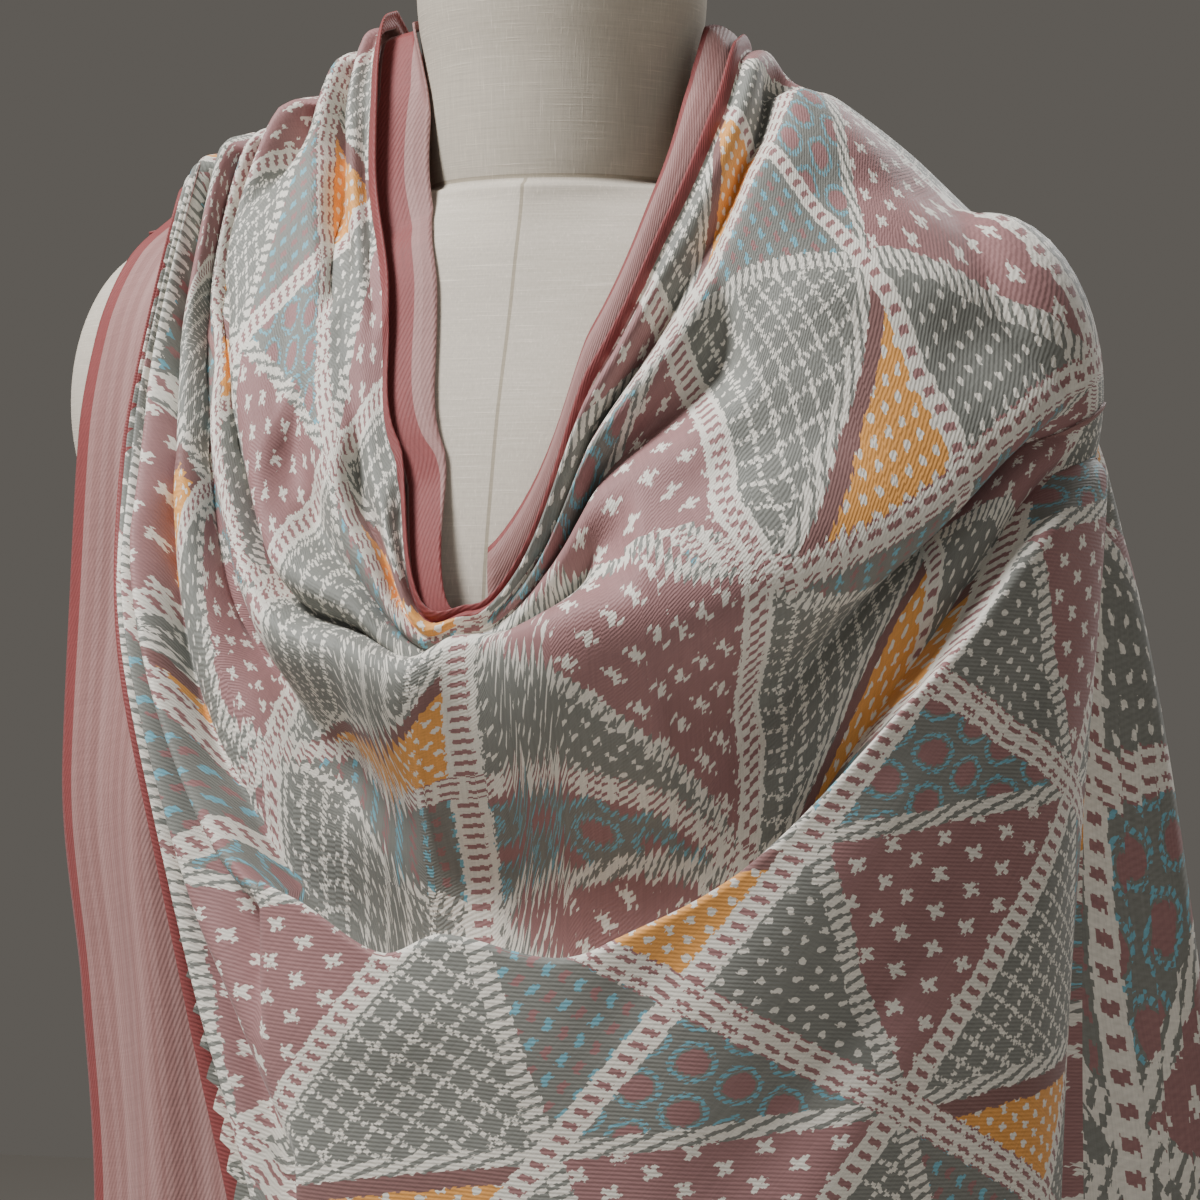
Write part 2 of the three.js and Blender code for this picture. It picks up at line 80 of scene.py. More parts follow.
def pick(values, at):
    """The value at a place along the last axis, which may differ from row to row."""
    return np.take_along_axis(values, at[..., None], -1)[..., 0]


def slopes(xs, ys):
    """Tangents of a smooth curve through knots in the last axis, with no overshoot."""
    rise = np.diff(ys, axis=-1) / np.diff(xs, axis=-1)
    a, b = rise[..., :-1], rise[..., 1:]
    inner = np.where(a * b > 0, 2 * a * b / np.where(a + b == 0, 1, a + b), 0)
    return np.concatenate([rise[..., :1], inner, rise[..., -1:]], axis=-1)


def smooth(xs, ys, x):
    """Value at each x of the smooth curve through the knots, which may differ for each x."""
    x = np.asarray(x, float)
    xs = np.broadcast_to(np.asarray(xs, float), x.shape + (np.shape(xs)[-1],))
    ys = np.broadcast_to(np.asarray(ys, float), xs.shape)
    x = np.clip(x, xs[..., 0], xs[..., -1])
    k = np.clip((x[..., None] >= xs).sum(-1) - 1, 0, xs.shape[-1] - 2)
    tangent = slopes(xs, ys)
    width = pick(xs, k + 1) - pick(xs, k)
    t = (x - pick(xs, k)) / width
    a, b = pick(tangent, k) * width, pick(tangent, k + 1) * width
    return (
        pick(ys, k) * (2 * t**3 - 3 * t**2 + 1)
        + a * (t**3 - 2 * t**2 + t)
        + pick(ys, k + 1) * (3 * t**2 - 2 * t**3)
        + b * (t**3 - t**2)
    )


def smooth_path(xs, rows, x):
    """Points at each x of the smooth curves through rows of points."""
    return np.stack([smooth(xs, np.stack([row[..., k] for row in rows], -1), x) for k in range(3)], -1)


def ease(t):
    """A soft step from 0 to 1."""
    t = np.clip(t, 0, 1)
    return t * t * (3 - 2 * t)


# How the shawl lies on the form: profiles from the neckline to the hem at azimuths from the
# front, positive towards +X. Each pair is distance from the axis and height.
PROFILES = [
    # azimuth, neckline, slope, widest, hang, hem
    (-90, (68, 1430), (106, 1396), (150, 1368), (190, 1150), (190, 740)),
    (-75, (68, 1426), (114, 1388), (151, 1358), (190, 1200), (188, 740)),
    (-62, (70, 1404), (138, 1312), (176, 1245), (188, 1150), (180, 740)),
    (-50, (74, 1362), (141, 1272), (184, 1170), (180, 1100), (172, 740)),
    (-35, (82, 1325), (147, 1212), (174, 1118), (168, 980), (162, 740)),
    (-20, (101, 1262), (143, 1190), (168, 1092), (163, 960), (157, 740)),
    (0, (122, 1229), (139, 1170), (162, 1081), (158, 980), (152, 740)),
    (20, (83, 1328), (126, 1252), (166, 1077), (164, 960), (162, 740)),
    (40, (75, 1362), (119, 1303), (178, 1108), (176, 960), (176, 740)),
    (60, (67, 1390), (110, 1354), (194, 1172), (190, 1000), (190, 740)),
    (80, (64, 1418), (122, 1373), (212, 1240), (204, 1000), (197, 740)),
    (92, (66, 1420), (140, 1361), (218, 1263), (202, 1022), (192, 740)),
    (101, (68, 1418), (150, 1356), (212, 1270), (190, 1050), (182, 740)),
    (112, (68, 1410), (150, 1348), (216, 1262), (258, 1070), (292, 740)),
    (135, (68, 1402), (135, 1338), (172, 1230), (188, 1000), (206, 740)),
    (180, (68, 1396), (100, 1318), (116, 1220), (128, 1000), (158, 740)),
    (225, (68, 1388), (135, 1330), (164, 1230), (178, 1000), (190, 740)),
    (248, (67, 1380), (150, 1345), (194, 1290), (180, 1100), (176, 740)),
    (270, (66, 1376), (120, 1354), (184, 1342), (205, 1300), (215, 740)),
]
PROFILE_KNOTS = range(1, 6)


def profile_knots(azimuth, axis):
    """Distances from the axis, or heights, of the profile's knots at each azimuth."""
    at = column(PROFILES, 0)
    rows = [column(column(PROFILES, k), axis) for k in PROFILE_KNOTS]
    return np.stack([smooth(at, row, azimuth) for row in rows], -1)


def on_wrap(azimuth, run):
    """Points of the shawl's outer ridges, run millimetres out and down from the neckline."""
    azimuth, run = np.broadcast_arrays(np.asarray(azimuth, float), np.asarray(run, float))
    knots = [profile_knots(azimuth, axis) for axis in (0, 1)]
    steps = sum(np.abs(np.diff(values, axis=-1)) for values in knots)
    runs = np.concatenate([np.zeros(steps.shape[:-1] + (1,)), np.cumsum(steps, -1)], -1)
    reach, height = (smooth(runs, values, run) for values in knots)
    turn = np.radians(azimuth)
    return np.stack([reach * np.sin(turn), -reach * np.cos(turn), height], -1)


# The folds of the print side, from the neckline down, as they cross the profiles.
# Columns: name, place across the cloth, depth of the trough after it, how far it droops,
# and its run at each azimuth.
FOLD_AT = [-90, -75, -62, -50, -35, -20, -8, 0, 20, 40, 60, 80, 92, 101, 112]
FOLDS = [
    ("neck edge", 0, 5, 0, [3, 6, 12, 14, 14, 15, 62, 48, 80, 46, 26, 20, 14, 10, 6]),
    ("neck roll", 30, 17, 1, [17, 20, 38, 34, 43, 48, 72, 54, 98, 66, 44, 36, 30, 26, 20]),
    ("collar pleat", 75, 17, 3, [32, 38, 68, 66, 100, 80, 79, 58, 120, 106, 74, 66, 74, 62, 50]),
    ("rail pleat", 150, 24, 4, [72, 81, 150, 150, 172, 108, 86, 62, 148, 170, 173, 156, 150, 140, 120]),
    ("upper swag", 215, 27, 6, [91, 100, 170, 176, 196, 130, 95, 69, 205, 251, 282, 290, 284, 270, 240]),
    ("pocket fold", 320, 15, 3, [108, 117, 190, 214, 250, 222, 198, 178, 322, 340, 322, 314, 308, 310, 320]),
    ("lower swag", 465, 17, 8, [127, 134, 223, 262, 302, 240, 212, 190, 336, 357, 350, 342, 336, 350, 400]),
    ("skirt fold", 540, 13, 4, [137, 142, 240, 285, 350, 330, 305, 285, 430, 450, 450, 460, 470, 480, 520]),
    ("low pinch", 620, 8, 3, [146, 150, 254, 300, 392, 412, 412, 410, 560, 585, 610, 640, 655, 660, 690]),
    ("hem", SHAWL_WIDTH, 0, 0, [156, 159, 267, 316, 428, 494, 525, 538, 676, 728, 785, 848, 866, 880, 900]),
]
# How far folds lie behind the outer ridges at each of those azimuths, less than 0 in front
SINKS = {
    "neck edge": [0, 0, 0, 0, 0, 3, 10, 12, 3, 0, 0, 0, 0, 0, 0],
    "neck roll": [0, 0, 0, 0, 0, 2, 8, 10, 2, 0, 0, 0, 0, 0, 0],
    "collar pleat": [0, 0, 0, 0, 0, 3, 10, 13, 5, 0, 0, 0, 0, 0, 0],
    "rail pleat": [0, 0, 0, 0, 2, 6, 11, 14, 8, 2, 0, 0, 0, 0, 0],
    "upper swag": [2, 4, 7, 5, 1, -4, -7, -8, -7, -3, 3, 4, 3, 3, 3],
    "pocket fold": [0, 0, 1, 7, 20, 38, 50, 53, 52, 42, 24, 9, 4, 3, 2],
}
UPPER_SWAG, POCKET_FOLD = (column(FOLDS, 0).index(name) for name in ("upper swag", "pocket fold"))
POCKET_DIP = 0.85  # how far the pocket hangs below its lip, as a share of its depth
FOLD_COUNT = len(FOLDS) - 1
ACROSS, TROUGH, DROOP, RUNS = (np.array(column(FOLDS, k), float) for k in range(1, 5))
SINK = np.array([SINKS.get(name, [0] * len(FOLD_AT)) for name in column(FOLDS, 0)], float)
FLARE = 112  # azimuth behind the arm where the back begins
FLARE_FADE = 14  # degrees before it in which the folds die away
BEND_LIMIT = 0.055  # deepest trough, as a share of the square of the gap between two ridges
KEENNESS = 0.7  # how sharp the ridges of a gathered fold are, from 0 to 1
ROLL = 1.05  # how far a gathered fold's ridges roll towards each other
DROOP_DEPTH = 10  # depth of trough from which a ridge droops in full


def fold_table(azimuth):
    """Run and sink of every fold at each azimuth, in the last axis."""
    return [np.stack([smooth(FOLD_AT, row, azimuth) for row in rows], -1) for rows in (RUNS, SINK)]


def fold_number(s):
    """Number of the fold that holds the place s folds below the neckline."""
    return np.clip(np.floor(s).astype(int), 0, FOLD_COUNT - 1)


def front_place(azimuth, s):
    """Run, depth and dip of the print side, s folds below the neckline."""
    runs, sinks = fold_table(azimuth)
    j = fold_number(s)
    t = s - j
    first, last = pick(runs, j), pick(runs, j + 1)
    gap = last - first
    width = ACROSS[j + 1] - ACROSS[j]
    slack = np.sqrt(np.maximum(width**2 - gap**2, 0)) / 2
    trough = np.minimum(np.minimum(TROUGH[j], slack), BEND_LIMIT * gap**2)
    fullness = np.clip(1 - gap / width, 0, 1)
    soft = (1 - np.cos(2 * np.pi * t)) / 2
    keen = 1 - np.abs(np.cos(np.pi * t))
    wave = soft + (keen - soft) * KEENNESS * fullness
    rolled = t + ROLL * fullness * np.sin(2 * np.pi * t) / (2 * np.pi)
    crest = (1 + np.cos(2 * np.pi * t)) / 2
    droop = (DROOP[j] * (1 - t) + DROOP[j + 1] * t) * crest * np.clip(trough / DROOP_DEPTH, 0, 1)
    fade = np.clip((FLARE - azimuth) / FLARE_FADE, 0, 1)
    sink = pick(sinks, j) * (1 - ease(t)) + pick(sinks, j + 1) * ease(t)
    dip = np.where(j == POCKET_FOLD, POCKET_DIP * pick(sinks, j) * np.sin(np.pi * t), 0)
    return first + gap * rolled + droop * fade, (sink + trough * wave) * fade, dip * fade


# Creases: where each starts and ends, as azimuth and fold number, its width in
# millimetres and its depth, negative for a ridge.
CREASES = [
    (6, 4.35, 66, 4.2, 9, 5.0),
    (16, 4.72, 74, 4.5, 9, -4.0),
    (-34, 4.3, 4, 4.6, 8, 4.0),
    (-28, 5.2, 12, 5.6, 8, 2.5),
    (14, 6.35, 70, 6.15, 12, 4.5),
    (-30, 6.6, 20, 6.4, 14, -3.5),
    (24, 7.25, 88, 6.5, 15, 7.0),
    (34, 7.6, 90, 6.95, 15, -6.0),
    (-10, 7.4, 30, 7.8, 18, 4.5),
    (60, 2.4, 92, 3.1, 9, 4.5),
    (46, 2.6, 86, 3.65, 8, -4.0),
    (26, 3.2, 62, 3.5, 7, 3.5),
    (64, 3.35, 94, 4.1, 9, 5.5),
    (70, 3.8, 96, 4.45, 7, -4.0),
    (-60, 2.3, -30, 2.6, 6, 2.0),
    (-52, 3.4, -24, 3.6, 6, -2.0),
    (-60, 5.3, -36, 5.5, 7, 2.2),
    (-44, 1.3, -18, 1.5, 5, 2.0),
]
CREASE_SWAY = 0.08  # how far a crease sways to either side of its line, in folds
CREASE_SWAY_RATE = 7  # radians over its length
CREASE_END = 0.3  # share of its length in which it fades at each end
LEAST_STEP = 1e-6  # keeps a length that divides something from being nought


def crease_depth(azimuth, s, point):
    """Soft troughs and ridges along the crease lines, measured over the cloth."""
    total = np.zeros(azimuth.shape)
    spacing = np.abs(np.gradient(point[..., 2], axis=1)) + LEAST_STEP
    rows = np.abs(np.gradient(s, axis=1)) + LEAST_STEP
    for a0, s0, a1, s1, width, depth in CREASES:
        along = (azimuth - a0) / (a1 - a0)
        sway = CREASE_SWAY * np.sin(CREASE_SWAY_RATE * along + a0)
        line = s0 + (s1 - s0) * np.clip(along, 0, 1) + sway
        away = (s - line) * spacing / rows
        body = np.exp(-((away / width) ** 2))
        ends = ease(along / CREASE_END) * ease((1 - along) / CREASE_END)
        total += depth * body * ends
    return total


# The form's skin, so that no fold sinks into it
TORSO = [
    # height, half width, front depth, back depth, squareness
    (690, 148, 90, 104, 2.2),
    (800, 166, 100, 120, 2.2),
    (900, 141, 88, 98, 2.2),
    (1000, 116, 76, 74, 2.2),
    (1090, 130, 92, 78, 2.3),
    (1175, 150, 110, 86, 2.4),
    (1250, 168, 94, 90, 2.2),
    (1300, 178, 74, 84, 1.9),
    (1325, 178, 65, 76, 1.5),
    (1337, 168, 60, 70, 1.25),
    (1346, 126, 57, 66, 1.15),
    (1354, 84, 55, 62, 1.2),
]
NECK = [(690, 50), (1330, 50), (1362, 53), (1400, 55), (1432, 58), (1448, 58)]  # height, radius
NECK_BASE = 1354
NECK_BLEND = 4  # radius of the soft corner between torso and neck
ARM_CAP = {"middle": (170, 8, 1271), "size": (41, 42, 66)}
ARM_CAP_ROOM = 1  # extra room over the arm caps
LAYER = 4  # room for one layer of cloth and the air under it


def form_reach(x, y, z):
    """Distance from the axis to the form's skin, of torso or neck, in the direction of x and y."""
    half, front, back, power = (smooth(column(TORSO, 0), column(TORSO, k), z) for k in range(1, 5))
    reach = np.hypot(x, y)
    depth = np.where(y < 0, front, back)
    torso = ((np.abs(x) / reach / half) ** power + (np.abs(y) / reach / depth) ** power) ** (-1 / power)
    torso = torso * (1 - ease((z - NECK_BASE + NECK_BLEND) / (2 * NECK_BLEND)))
    neck = smooth(column(NECK, 0), column(NECK, 1), z)
    return np.logaddexp(torso / NECK_BLEND, neck / NECK_BLEND) * NECK_BLEND


def clear_of_form(point, room):
    """Keeps points of the cloth's outer side at least room from the form's skin."""
    point = point.copy()
    skin = form_reach(point[..., 0], point[..., 1], point[..., 2])
    reach = np.hypot(point[..., 0], point[..., 1])
    point[..., :2] *= np.maximum((skin + room) / reach, 1)[..., None]
    mx, my, mz = ARM_CAP["middle"]
    middle = np.stack([np.sign(point[..., 0]) * mx, np.full(reach.shape, my), np.full(reach.shape, mz)], -1)
    size = np.array(ARM_CAP["size"]) + np.asarray(room)[..., None] + ARM_CAP_ROOM
    inside = (point - middle) / size
    far = np.linalg.norm(inside, axis=-1, keepdims=True)
    return np.where(far < 1, inside / np.maximum(far, LEAST_STEP) * size + middle, point)


SOFT_PASSES = 4
LEAST_AREA = 1e-9  # keeps a normal from being divided by nought


def softened(points):
    """Points averaged down the cloth, which rounds its sharpest bends."""
    for _ in range(SOFT_PASSES):
        middle = (points[:, :-2] + 2 * points[:, 1:-1] + points[:, 2:]) / 4
        points = np.concatenate([points[:, :1], middle, points[:, -1:]], 1)
    return points


def normals(points):
    """Outward normals of a grid of points whose columns run to the right, seen from outside."""
    along = np.gradient(points, axis=0)
    down = np.gradient(points, axis=1)
    n = np.cross(down, along)
    return n / np.maximum(np.linalg.norm(n, axis=-1, keepdims=True), LEAST_AREA)


# Layers of cloth under the print side
UNDER_END_FROM = -28  # azimuth from which the other end lies under the print side
UNDER_END_FADE = 14  # degrees in which the room for it grows
NECK_FOLDS = 1.6  # folds below the neckline that have a neck band under them
FRONT_PRESS = 0.8  # how much closer than its layers' full room the front lies


def front_layers(azimuth, s):
    """Layers of cloth between the print side's outer face and the form."""
    return 1 + np.maximum(ease((UNDER_END_FROM - azimuth) / UNDER_END_FADE), ease(NECK_FOLDS - s))


def front_cloth(azimuth, s):
    """Points of the folded front, s folds below the neckline."""
    run, depth, dip = front_place(azimuth, s)
    ridges = on_wrap(azimuth, run)
    runs, _ = fold_table(azimuth)
    j = fold_number(s)
    plain = on_wrap(azimuth, pick(runs, j) * (1 - (s - j)) + pick(runs, j + 1) * (s - j))
    normal = normals(plain)
    point = ridges - normal * (depth + crease_depth(azimuth, s, plain))[..., None]
    point[..., 2] -= dip
    return clear_of_form(softened(point), LAYER * front_layers(azimuth, s) - FRONT_PRESS)


# The back: soft vertical folds from the flare to the left shoulder
BACK_END = 270
BACK_START = 6  # run of its upper edge
BACK_FOLDS = 9
BACK_DEPTH = 9
BACK_OPENS = (0.2, 0.7)  # share of its length above the folds, and in which they open
BACK_JOIN = 0.04  # share of the way round in which the folds grow from the front's
BACK_HEM = [(112, 900), (135, 860), (180, 800), (225, 830), (240, 800), (248, 420), (256, 190), (270, 140)]


def back_cloth(azimuth, t):
    """Points of the back, a share t of the way down; slow sine waves make its folds uneven."""
    hem = smooth(column(BACK_HEM, 0), column(BACK_HEM, 1), azimuth)
    ridges = on_wrap(azimuth, BACK_START + (hem - BACK_START) * t)
    share = (azimuth - FLARE) / (BACK_END - FLARE)
    uneven = share + 0.025 * np.sin(9 * share + 1) + 0.02 * np.sin(23 * share)
    wave = (1 - np.cos(2 * np.pi * BACK_FOLDS * uneven)) / 2
    height = 0.65 + 0.35 * np.sin(17 * share + 2)
    above, opens = BACK_OPENS
    opening = ease((t - above) / opens) * ease(share / BACK_JOIN)
    depth = BACK_DEPTH * height * opening * wave
    return clear_of_form(ridges - normals(ridges) * depth[..., None], np.full(t.shape, LAYER))


# The end thrown over the left shoulder: down its length, its edges as azimuth and run
THROWN = [
    # down, azimuth and run by the spine, azimuth and run by the arm
    (0.13, (222, 34), (249, 164)),
    (0.3, (200, 146), (240, 256)),
    (0.6, (191, 360), (241, 430)),
    (1, (183, 616), (243, 650)),
]
THROWN_LIFT = 17  # how far it lies off the back
THROWN_FOLDS = 6
THROWN_DEPTH = 9
NUDGE = (2, 4)  # degrees and run to either side of a place that give the direction outwards


def thrown_cloth(down, s, top):
    """Points down the thrown end, from the row of points at the top of the shoulder."""
    turn, drop = NUDGE
    share = s / FOLD_COUNT
    rows = [np.broadcast_to(top, down.shape + (3,))]
    for _, inner, outer in THROWN:
        azimuth = inner[0] + (outer[0] - inner[0]) * share
        run = inner[1] + (outer[1] - inner[1]) * share
        around = on_wrap(azimuth + turn, run) - on_wrap(azimuth - turn, run)
        below = on_wrap(azimuth, run + drop) - on_wrap(azimuth, run - drop)
        outwards = np.cross(below, around)
        outwards /= np.linalg.norm(outwards, axis=-1, keepdims=True)
        rows.append(on_wrap(azimuth, run) + THROWN_LIFT * outwards)
    ridge = smooth_path([0] + column(THROWN, 0), rows, down)
    uneven = share + 0.03 * np.sin(8 * share + 2) + 0.012 * np.sin(6 * down + 9 * share)
    wave = (1 - np.cos(2 * np.pi * THROWN_FOLDS * uneven)) / 2
    bulge = THROWN_DEPTH * wave * (0.7 + 0.3 * np.sin(5 * share + 3 * down)) * ease(down * 4)
    return clear_of_form(ridge + normals(ridge[::-1])[::-1] * bulge[..., None], np.full(s.shape, LAYER))


# Building sheets
def on_faces(grid):
    """Values at the four corners of every face of a grid."""
    return np.stack([grid[:-1, :-1], grid[:-1, 1:], grid[1:, 1:], grid[1:, :-1]], 2)


def sheet_object(name, points, uv, edges, materials):
    """A thin closed sheet over a grid of points in millimetres. For its faces' corners, uv is
    their place on the cloth and edges their distance from its two selvedges."""
    count = points.shape[0] * points.shape[1]
    faces = on_faces(np.arange(count).reshape(points.shape[:2])).reshape(-1, 4)
    mesh = bpy.data.meshes.new(name)
    mesh.from_pydata((points.reshape(-1, 3) * MM).tolist(), [], faces.tolist())
    for layer_name, values in (("cloth", uv), ("selvedges", edges)):
        layer = mesh.uv_layers.new(name=layer_name)
        layer.data.foreach_set("uv", (values * MM).astype(np.float32).ravel())
    mesh.polygons.foreach_set("use_smooth", [True] * len(mesh.polygons))
    sheet = bpy.data.objects.new(name, mesh)
    bpy.context.collection.objects.link(sheet)
    for material in materials:
        mesh.materials.append(material)
    solid = sheet.modifiers.new("thickness", "SOLIDIFY")
    solid.thickness = CLOTH * MM
    solid.offset = -1
    solid.material_offset = 1
    solid.material_offset_rim = 1
    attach(sheet, "root")
    return sheet


def walked(points, axis):
    """Distance walked over the cloth from the first row or column."""
    step = np.linalg.norm(np.diff(points, axis=axis), axis=-1)
    start = np.zeros_like(np.take(step, [0], axis))
    return np.concatenate([start, np.cumsum(step, axis)], axis)


# Over the chest the neckline's pleats take up more of the cloth's width, so the upper swag
# and the pocket lie further from the neck edge: by how much, where, and for which folds.
CHEST_TAKE_UP = 70
CHEST_AT = {"azimuth": [-38, -20, 12, 45], "share": [0, 1, 1, 0]}
CHEST_FOLDS = {"upper swag": 1, "pocket fold": 1.5}


def across_knots(azimuths):
    """Place across the cloth of each fold at each column."""
    shift = CHEST_TAKE_UP * smooth(CHEST_AT["azimuth"], CHEST_AT["share"], azimuths)
    return ACROSS + shift[:, None] * np.array([CHEST_FOLDS.get(name, 0) for name in column(FOLDS, 0)])


# Where a fold's cloth shows in full, the print runs on evenly; where much of it is hidden,
# the print jumps in the valley. Stretch at which hiding starts, and over which it grows.
HIDDEN_FROM = 1.35
HIDDEN_OVER = 0.6
HIDDEN_FOLDS = {UPPER_SWAG: 0, POCKET_FOLD: 1}  # these two are given directly


def cloth_across(points, azimuths, s):
    """Place across the cloth at the faces' corners, whether each face belongs to the ridge below
    it, and each row's fold. Where folds hide cloth, the jump lies in the valley."""
    down = walked(points, 1)
    corners = on_faces(down)
    across = np.zeros(corners.shape)
    lower = np.zeros(corners.shape[:2], bool)
    fold = fold_number((s[:-1] + s[1:]) / 2)
    rows = np.searchsorted(s, np.arange(FOLD_COUNT + 1) - LEAST_STEP)
    knots = across_knots(azimuths)[:-1, :, None, None]
    for j in range(FOLD_COUNT):
        inside = np.flatnonzero(fold == j)
        start = down[:-1, rows[j], None, None]
        length = down[:-1, rows[j + 1], None, None] - start
        first, last = knots[:, j], knots[:, j + 1]
        near = corners[:, inside] - start
        stretch = (last - first) / np.maximum(length, LEAST_STEP)
        hidden = HIDDEN_FOLDS.get(j, ease((stretch - HIDDEN_FROM) / HIDDEN_OVER))
        even = first + near * stretch
        is_lower = near.mean(2, keepdims=True) > length / 2
        broken = np.where(is_lower, last - (length - near), first + near)
        across[:, inside] = even * (1 - hidden) + broken * hidden
        lower[:, inside] = is_lower[:, :, 0]
    return across, lower, fold


def cloth_along(points, azimuths, start_column, even_row, even):
    """Place along the cloth, from start_column: each row's own length, and a share of even from
    the length of even_row instead."""
    step = np.linalg.norm(np.diff(points, axis=0), axis=-1)
    step = step * (1 - even) + step[:, even_row, None] * even
    step = step * smooth(BIAS_AT["azimuth"], BIAS_AT["share"], azimuths[1:])[:, None]
    total = np.concatenate([np.zeros((1, points.shape[1])), np.cumsum(step, 0)], 0)
    return total - total[start_column]


# Below the lower swag the cloth hangs on the bias: its rails run down to the right.
SKIRT_AT = (30, 1048)  # azimuth and height of the place where a rail crosses a middle ladder
SKIRT_RAIL = 511  # that rail's place across the cloth
SKIRT_TURN = {"rail": 27, "ladder": 50}  # degrees down from level, to the right and to the left


def skirt_uv(points, azimuths, lip_row):
    """Places along and across the cloth for the part that hangs below the lower swag."""
    rail, ladder = (math.radians(SKIRT_TURN[k]) for k in ("rail", "ladder"))
    down = walked(points, 1)
    drop = SKIRT_AT[1] - points[:, lip_row, None, 2] + down - down[:, lip_row, None]
    round_body = walked(points[:, lip_row : lip_row + 1, :2], 0)[:, 0]
    side = (round_body - np.interp(SKIRT_AT[0], azimuths, round_body))[:, None]
    area = math.sin(rail + ladder)
    along = (math.sin(ladder) * side + math.cos(ladder) * drop) / area
    across = (math.cos(rail) * drop - math.sin(rail) * side) / area
    return np.stack([along, SKIRT_RAIL + across], -1)


# Materials
def linear(hex_colour):
    """Linear colour of an sRGB hex value."""
    parts = [int(hex_colour[k : k + 2], 16) / 255 for k in (1, 3, 5)]
    return [c / 12.92 if c <= 0.04045 else ((c + 0.055) / 1.055) ** 2.4 for c in parts] + [1]


def add_node(tree, kind, settings=None, inputs=()):
    """Adds a node, sets its options and its inputs in order, values or sockets, and returns it."""
    node = tree.nodes.new(kind)
    for key, value in (settings or {}).items():
        setattr(node, key, value)
    for key, value in inputs.items() if isinstance(inputs, dict) else enumerate(inputs):
        if isinstance(value, bpy.types.NodeSocket):
            tree.links.new(value, node.inputs[key])
        else:
            node.inputs[key].default_value = value
    return node


class SocketValue:
    """A socket's value, on which each operation is one Math node of the tree."""

    def __init__(self, tree, socket):
        self.tree, self.socket = tree, socket

    def op(self, name, *others):
        sockets = [o.socket if isinstance(o, SocketValue) else o for o in (self, *others)]
        node = add_node(self.tree, "ShaderNodeMath", {"operation": name}, sockets)
        return SocketValue(self.tree, node.outputs[0])

    def __add__(self, other):
        return self.op("ADD", other)

    def __sub__(self, other):
        return self.op("SUBTRACT", other)

    def __mul__(self, other):
        return self.op("MULTIPLY", other)

    def __truediv__(self, other):
        return self.op("DIVIDE", other)

    def abs(self):
        return self.op("ABSOLUTE")

    def below(self, limit):
        return self.op("LESS_THAN", limit)

    def above(self, limit):
        return self.op("GREATER_THAN", limit)

    def either(self, other):
        return self.op("MAXIMUM", other)

    def stripes(self, pitch, share):
        """1 on the first share of each pitch."""
        return (self / pitch).op("FRACT").below(share)

    def around(self, pitch):
        """Distance from the middle of each pitch, less than 0 before it."""
        return (self / pitch).op("FRACT") * pitch - pitch / 2


def mixed(tree, mask, under, over):
    """Colour under, or over where mask is 1."""
    node = add_node(tree, "ShaderNodeMix", {"data_type": "RGBA"}, {0: mask.socket, 6: under, 7: over})
    return node.outputs[2]


# Colours of the print and the plain side
GREY = "#80817B"
MAUVE = "#9A7271"
OFF_WHITE = "#E6E1D6"
ORANGE = "#E3A055"
BLUE = "#76AFBF"
BROWN = "#85625F"
DARK_RED = "#84403F"
REVERSE = "#956D69"
REVERSE_STRIPE = "#A57F7B"

# Colours of the form, its stand and the studio
LINEN = "#C9C0B2"
NECK_LINEN = "#C0B7A8"
SEAM_SHADE = "#A59B8A"
WOOD_STAIN = "#5A4334"
STAND_PAINT = "#3C3B3A"
FLOOR_PAPER = "#D8D4CE"
STUDIO_AIR = "#A9A39B"

# Sizes of the print, in millimetres of cloth. A pair gives a pitch and the share that is drawn.
TILE_LONG = 184
TILE_WIDE = 148
RAIL_AT = 67  # first rail, from the neck edge
TILE_SHIFT = 92
THREAD = 1.2  # steps of the motifs' edges, about two threads wide so that they show
JAG = 0.7  # how far the edges jump at a step
SELVEDGE = 6.5
LATTICE_LINE = (9.5, 0.2)
LATTICE_BREAK = (3.4, 0.62)
CROSS_PITCH = 13.5
CROSS_ARM = 3.5
CROSS_THICK = 1.05
DASH_ALONG = (6.4, 0.42)
DASH_ACROSS = (9, 0.55)
RING_PITCH = (19, 18)
RING_RADII = (8.3, 6.3, 5.4)  # outer edge, inner edge, spot
RING_BREAK = (3.2, 0.6)
ORANGE_DOTS = {"pitch": (7.4, 6.6), "radius": 1.7}
GREY_DOTS = {"pitch": (7.4, 7), "radius": 1.45}
BROWN_BAND = 11  # beside the rope
ROPE_HALF = 3.8
ROPE_STRAND = {"along": 5.6, "across": 9, "share": 0.62}
LADDER_HALF = 5.2
RUNG_HALF = 2.9
RUNG = (6.2, 0.42)
RAIL_HALF = 6.6
RAIL_DASH = (9, 0.72)
RAIL_LINES = [(2.7, 0.95), (6.5, 0.8)]  # distance from the rail's middle, half thickness
REVERSE_STRIPES = [(21, 0.35), (7.3, 0.4)]


def map_sockets(tree, uv_map):
    """The two values of one of the piece's own UV maps, in millimetres."""
    uv = add_node(tree, "ShaderNodeUVMap", {"uv_map": uv_map})
    parts = add_node(tree, "ShaderNodeSeparateXYZ", {}, [uv.outputs[0]])
    return SocketValue(tree, parts.outputs[0]) * 1000, SocketValue(tree, parts.outputs[1]) * 1000


def selvedge(tree):
    """1 on the narrow selvedge along both long edges of the cloth."""
    near, far = map_sockets(tree, "selvedges")
    return near.op("MINIMUM", far).below(SELVEDGE)


def random_step(tree, value, size):
    """A random value from 0 to 1 for each step of the given size."""
    stepped = (value / size).op("FLOOR")
    noise = add_node(tree, "ShaderNodeTexWhiteNoise", {"noise_dimensions": "1D"}, {"W": stepped.socket})
    return SocketValue(tree, noise.outputs[0])


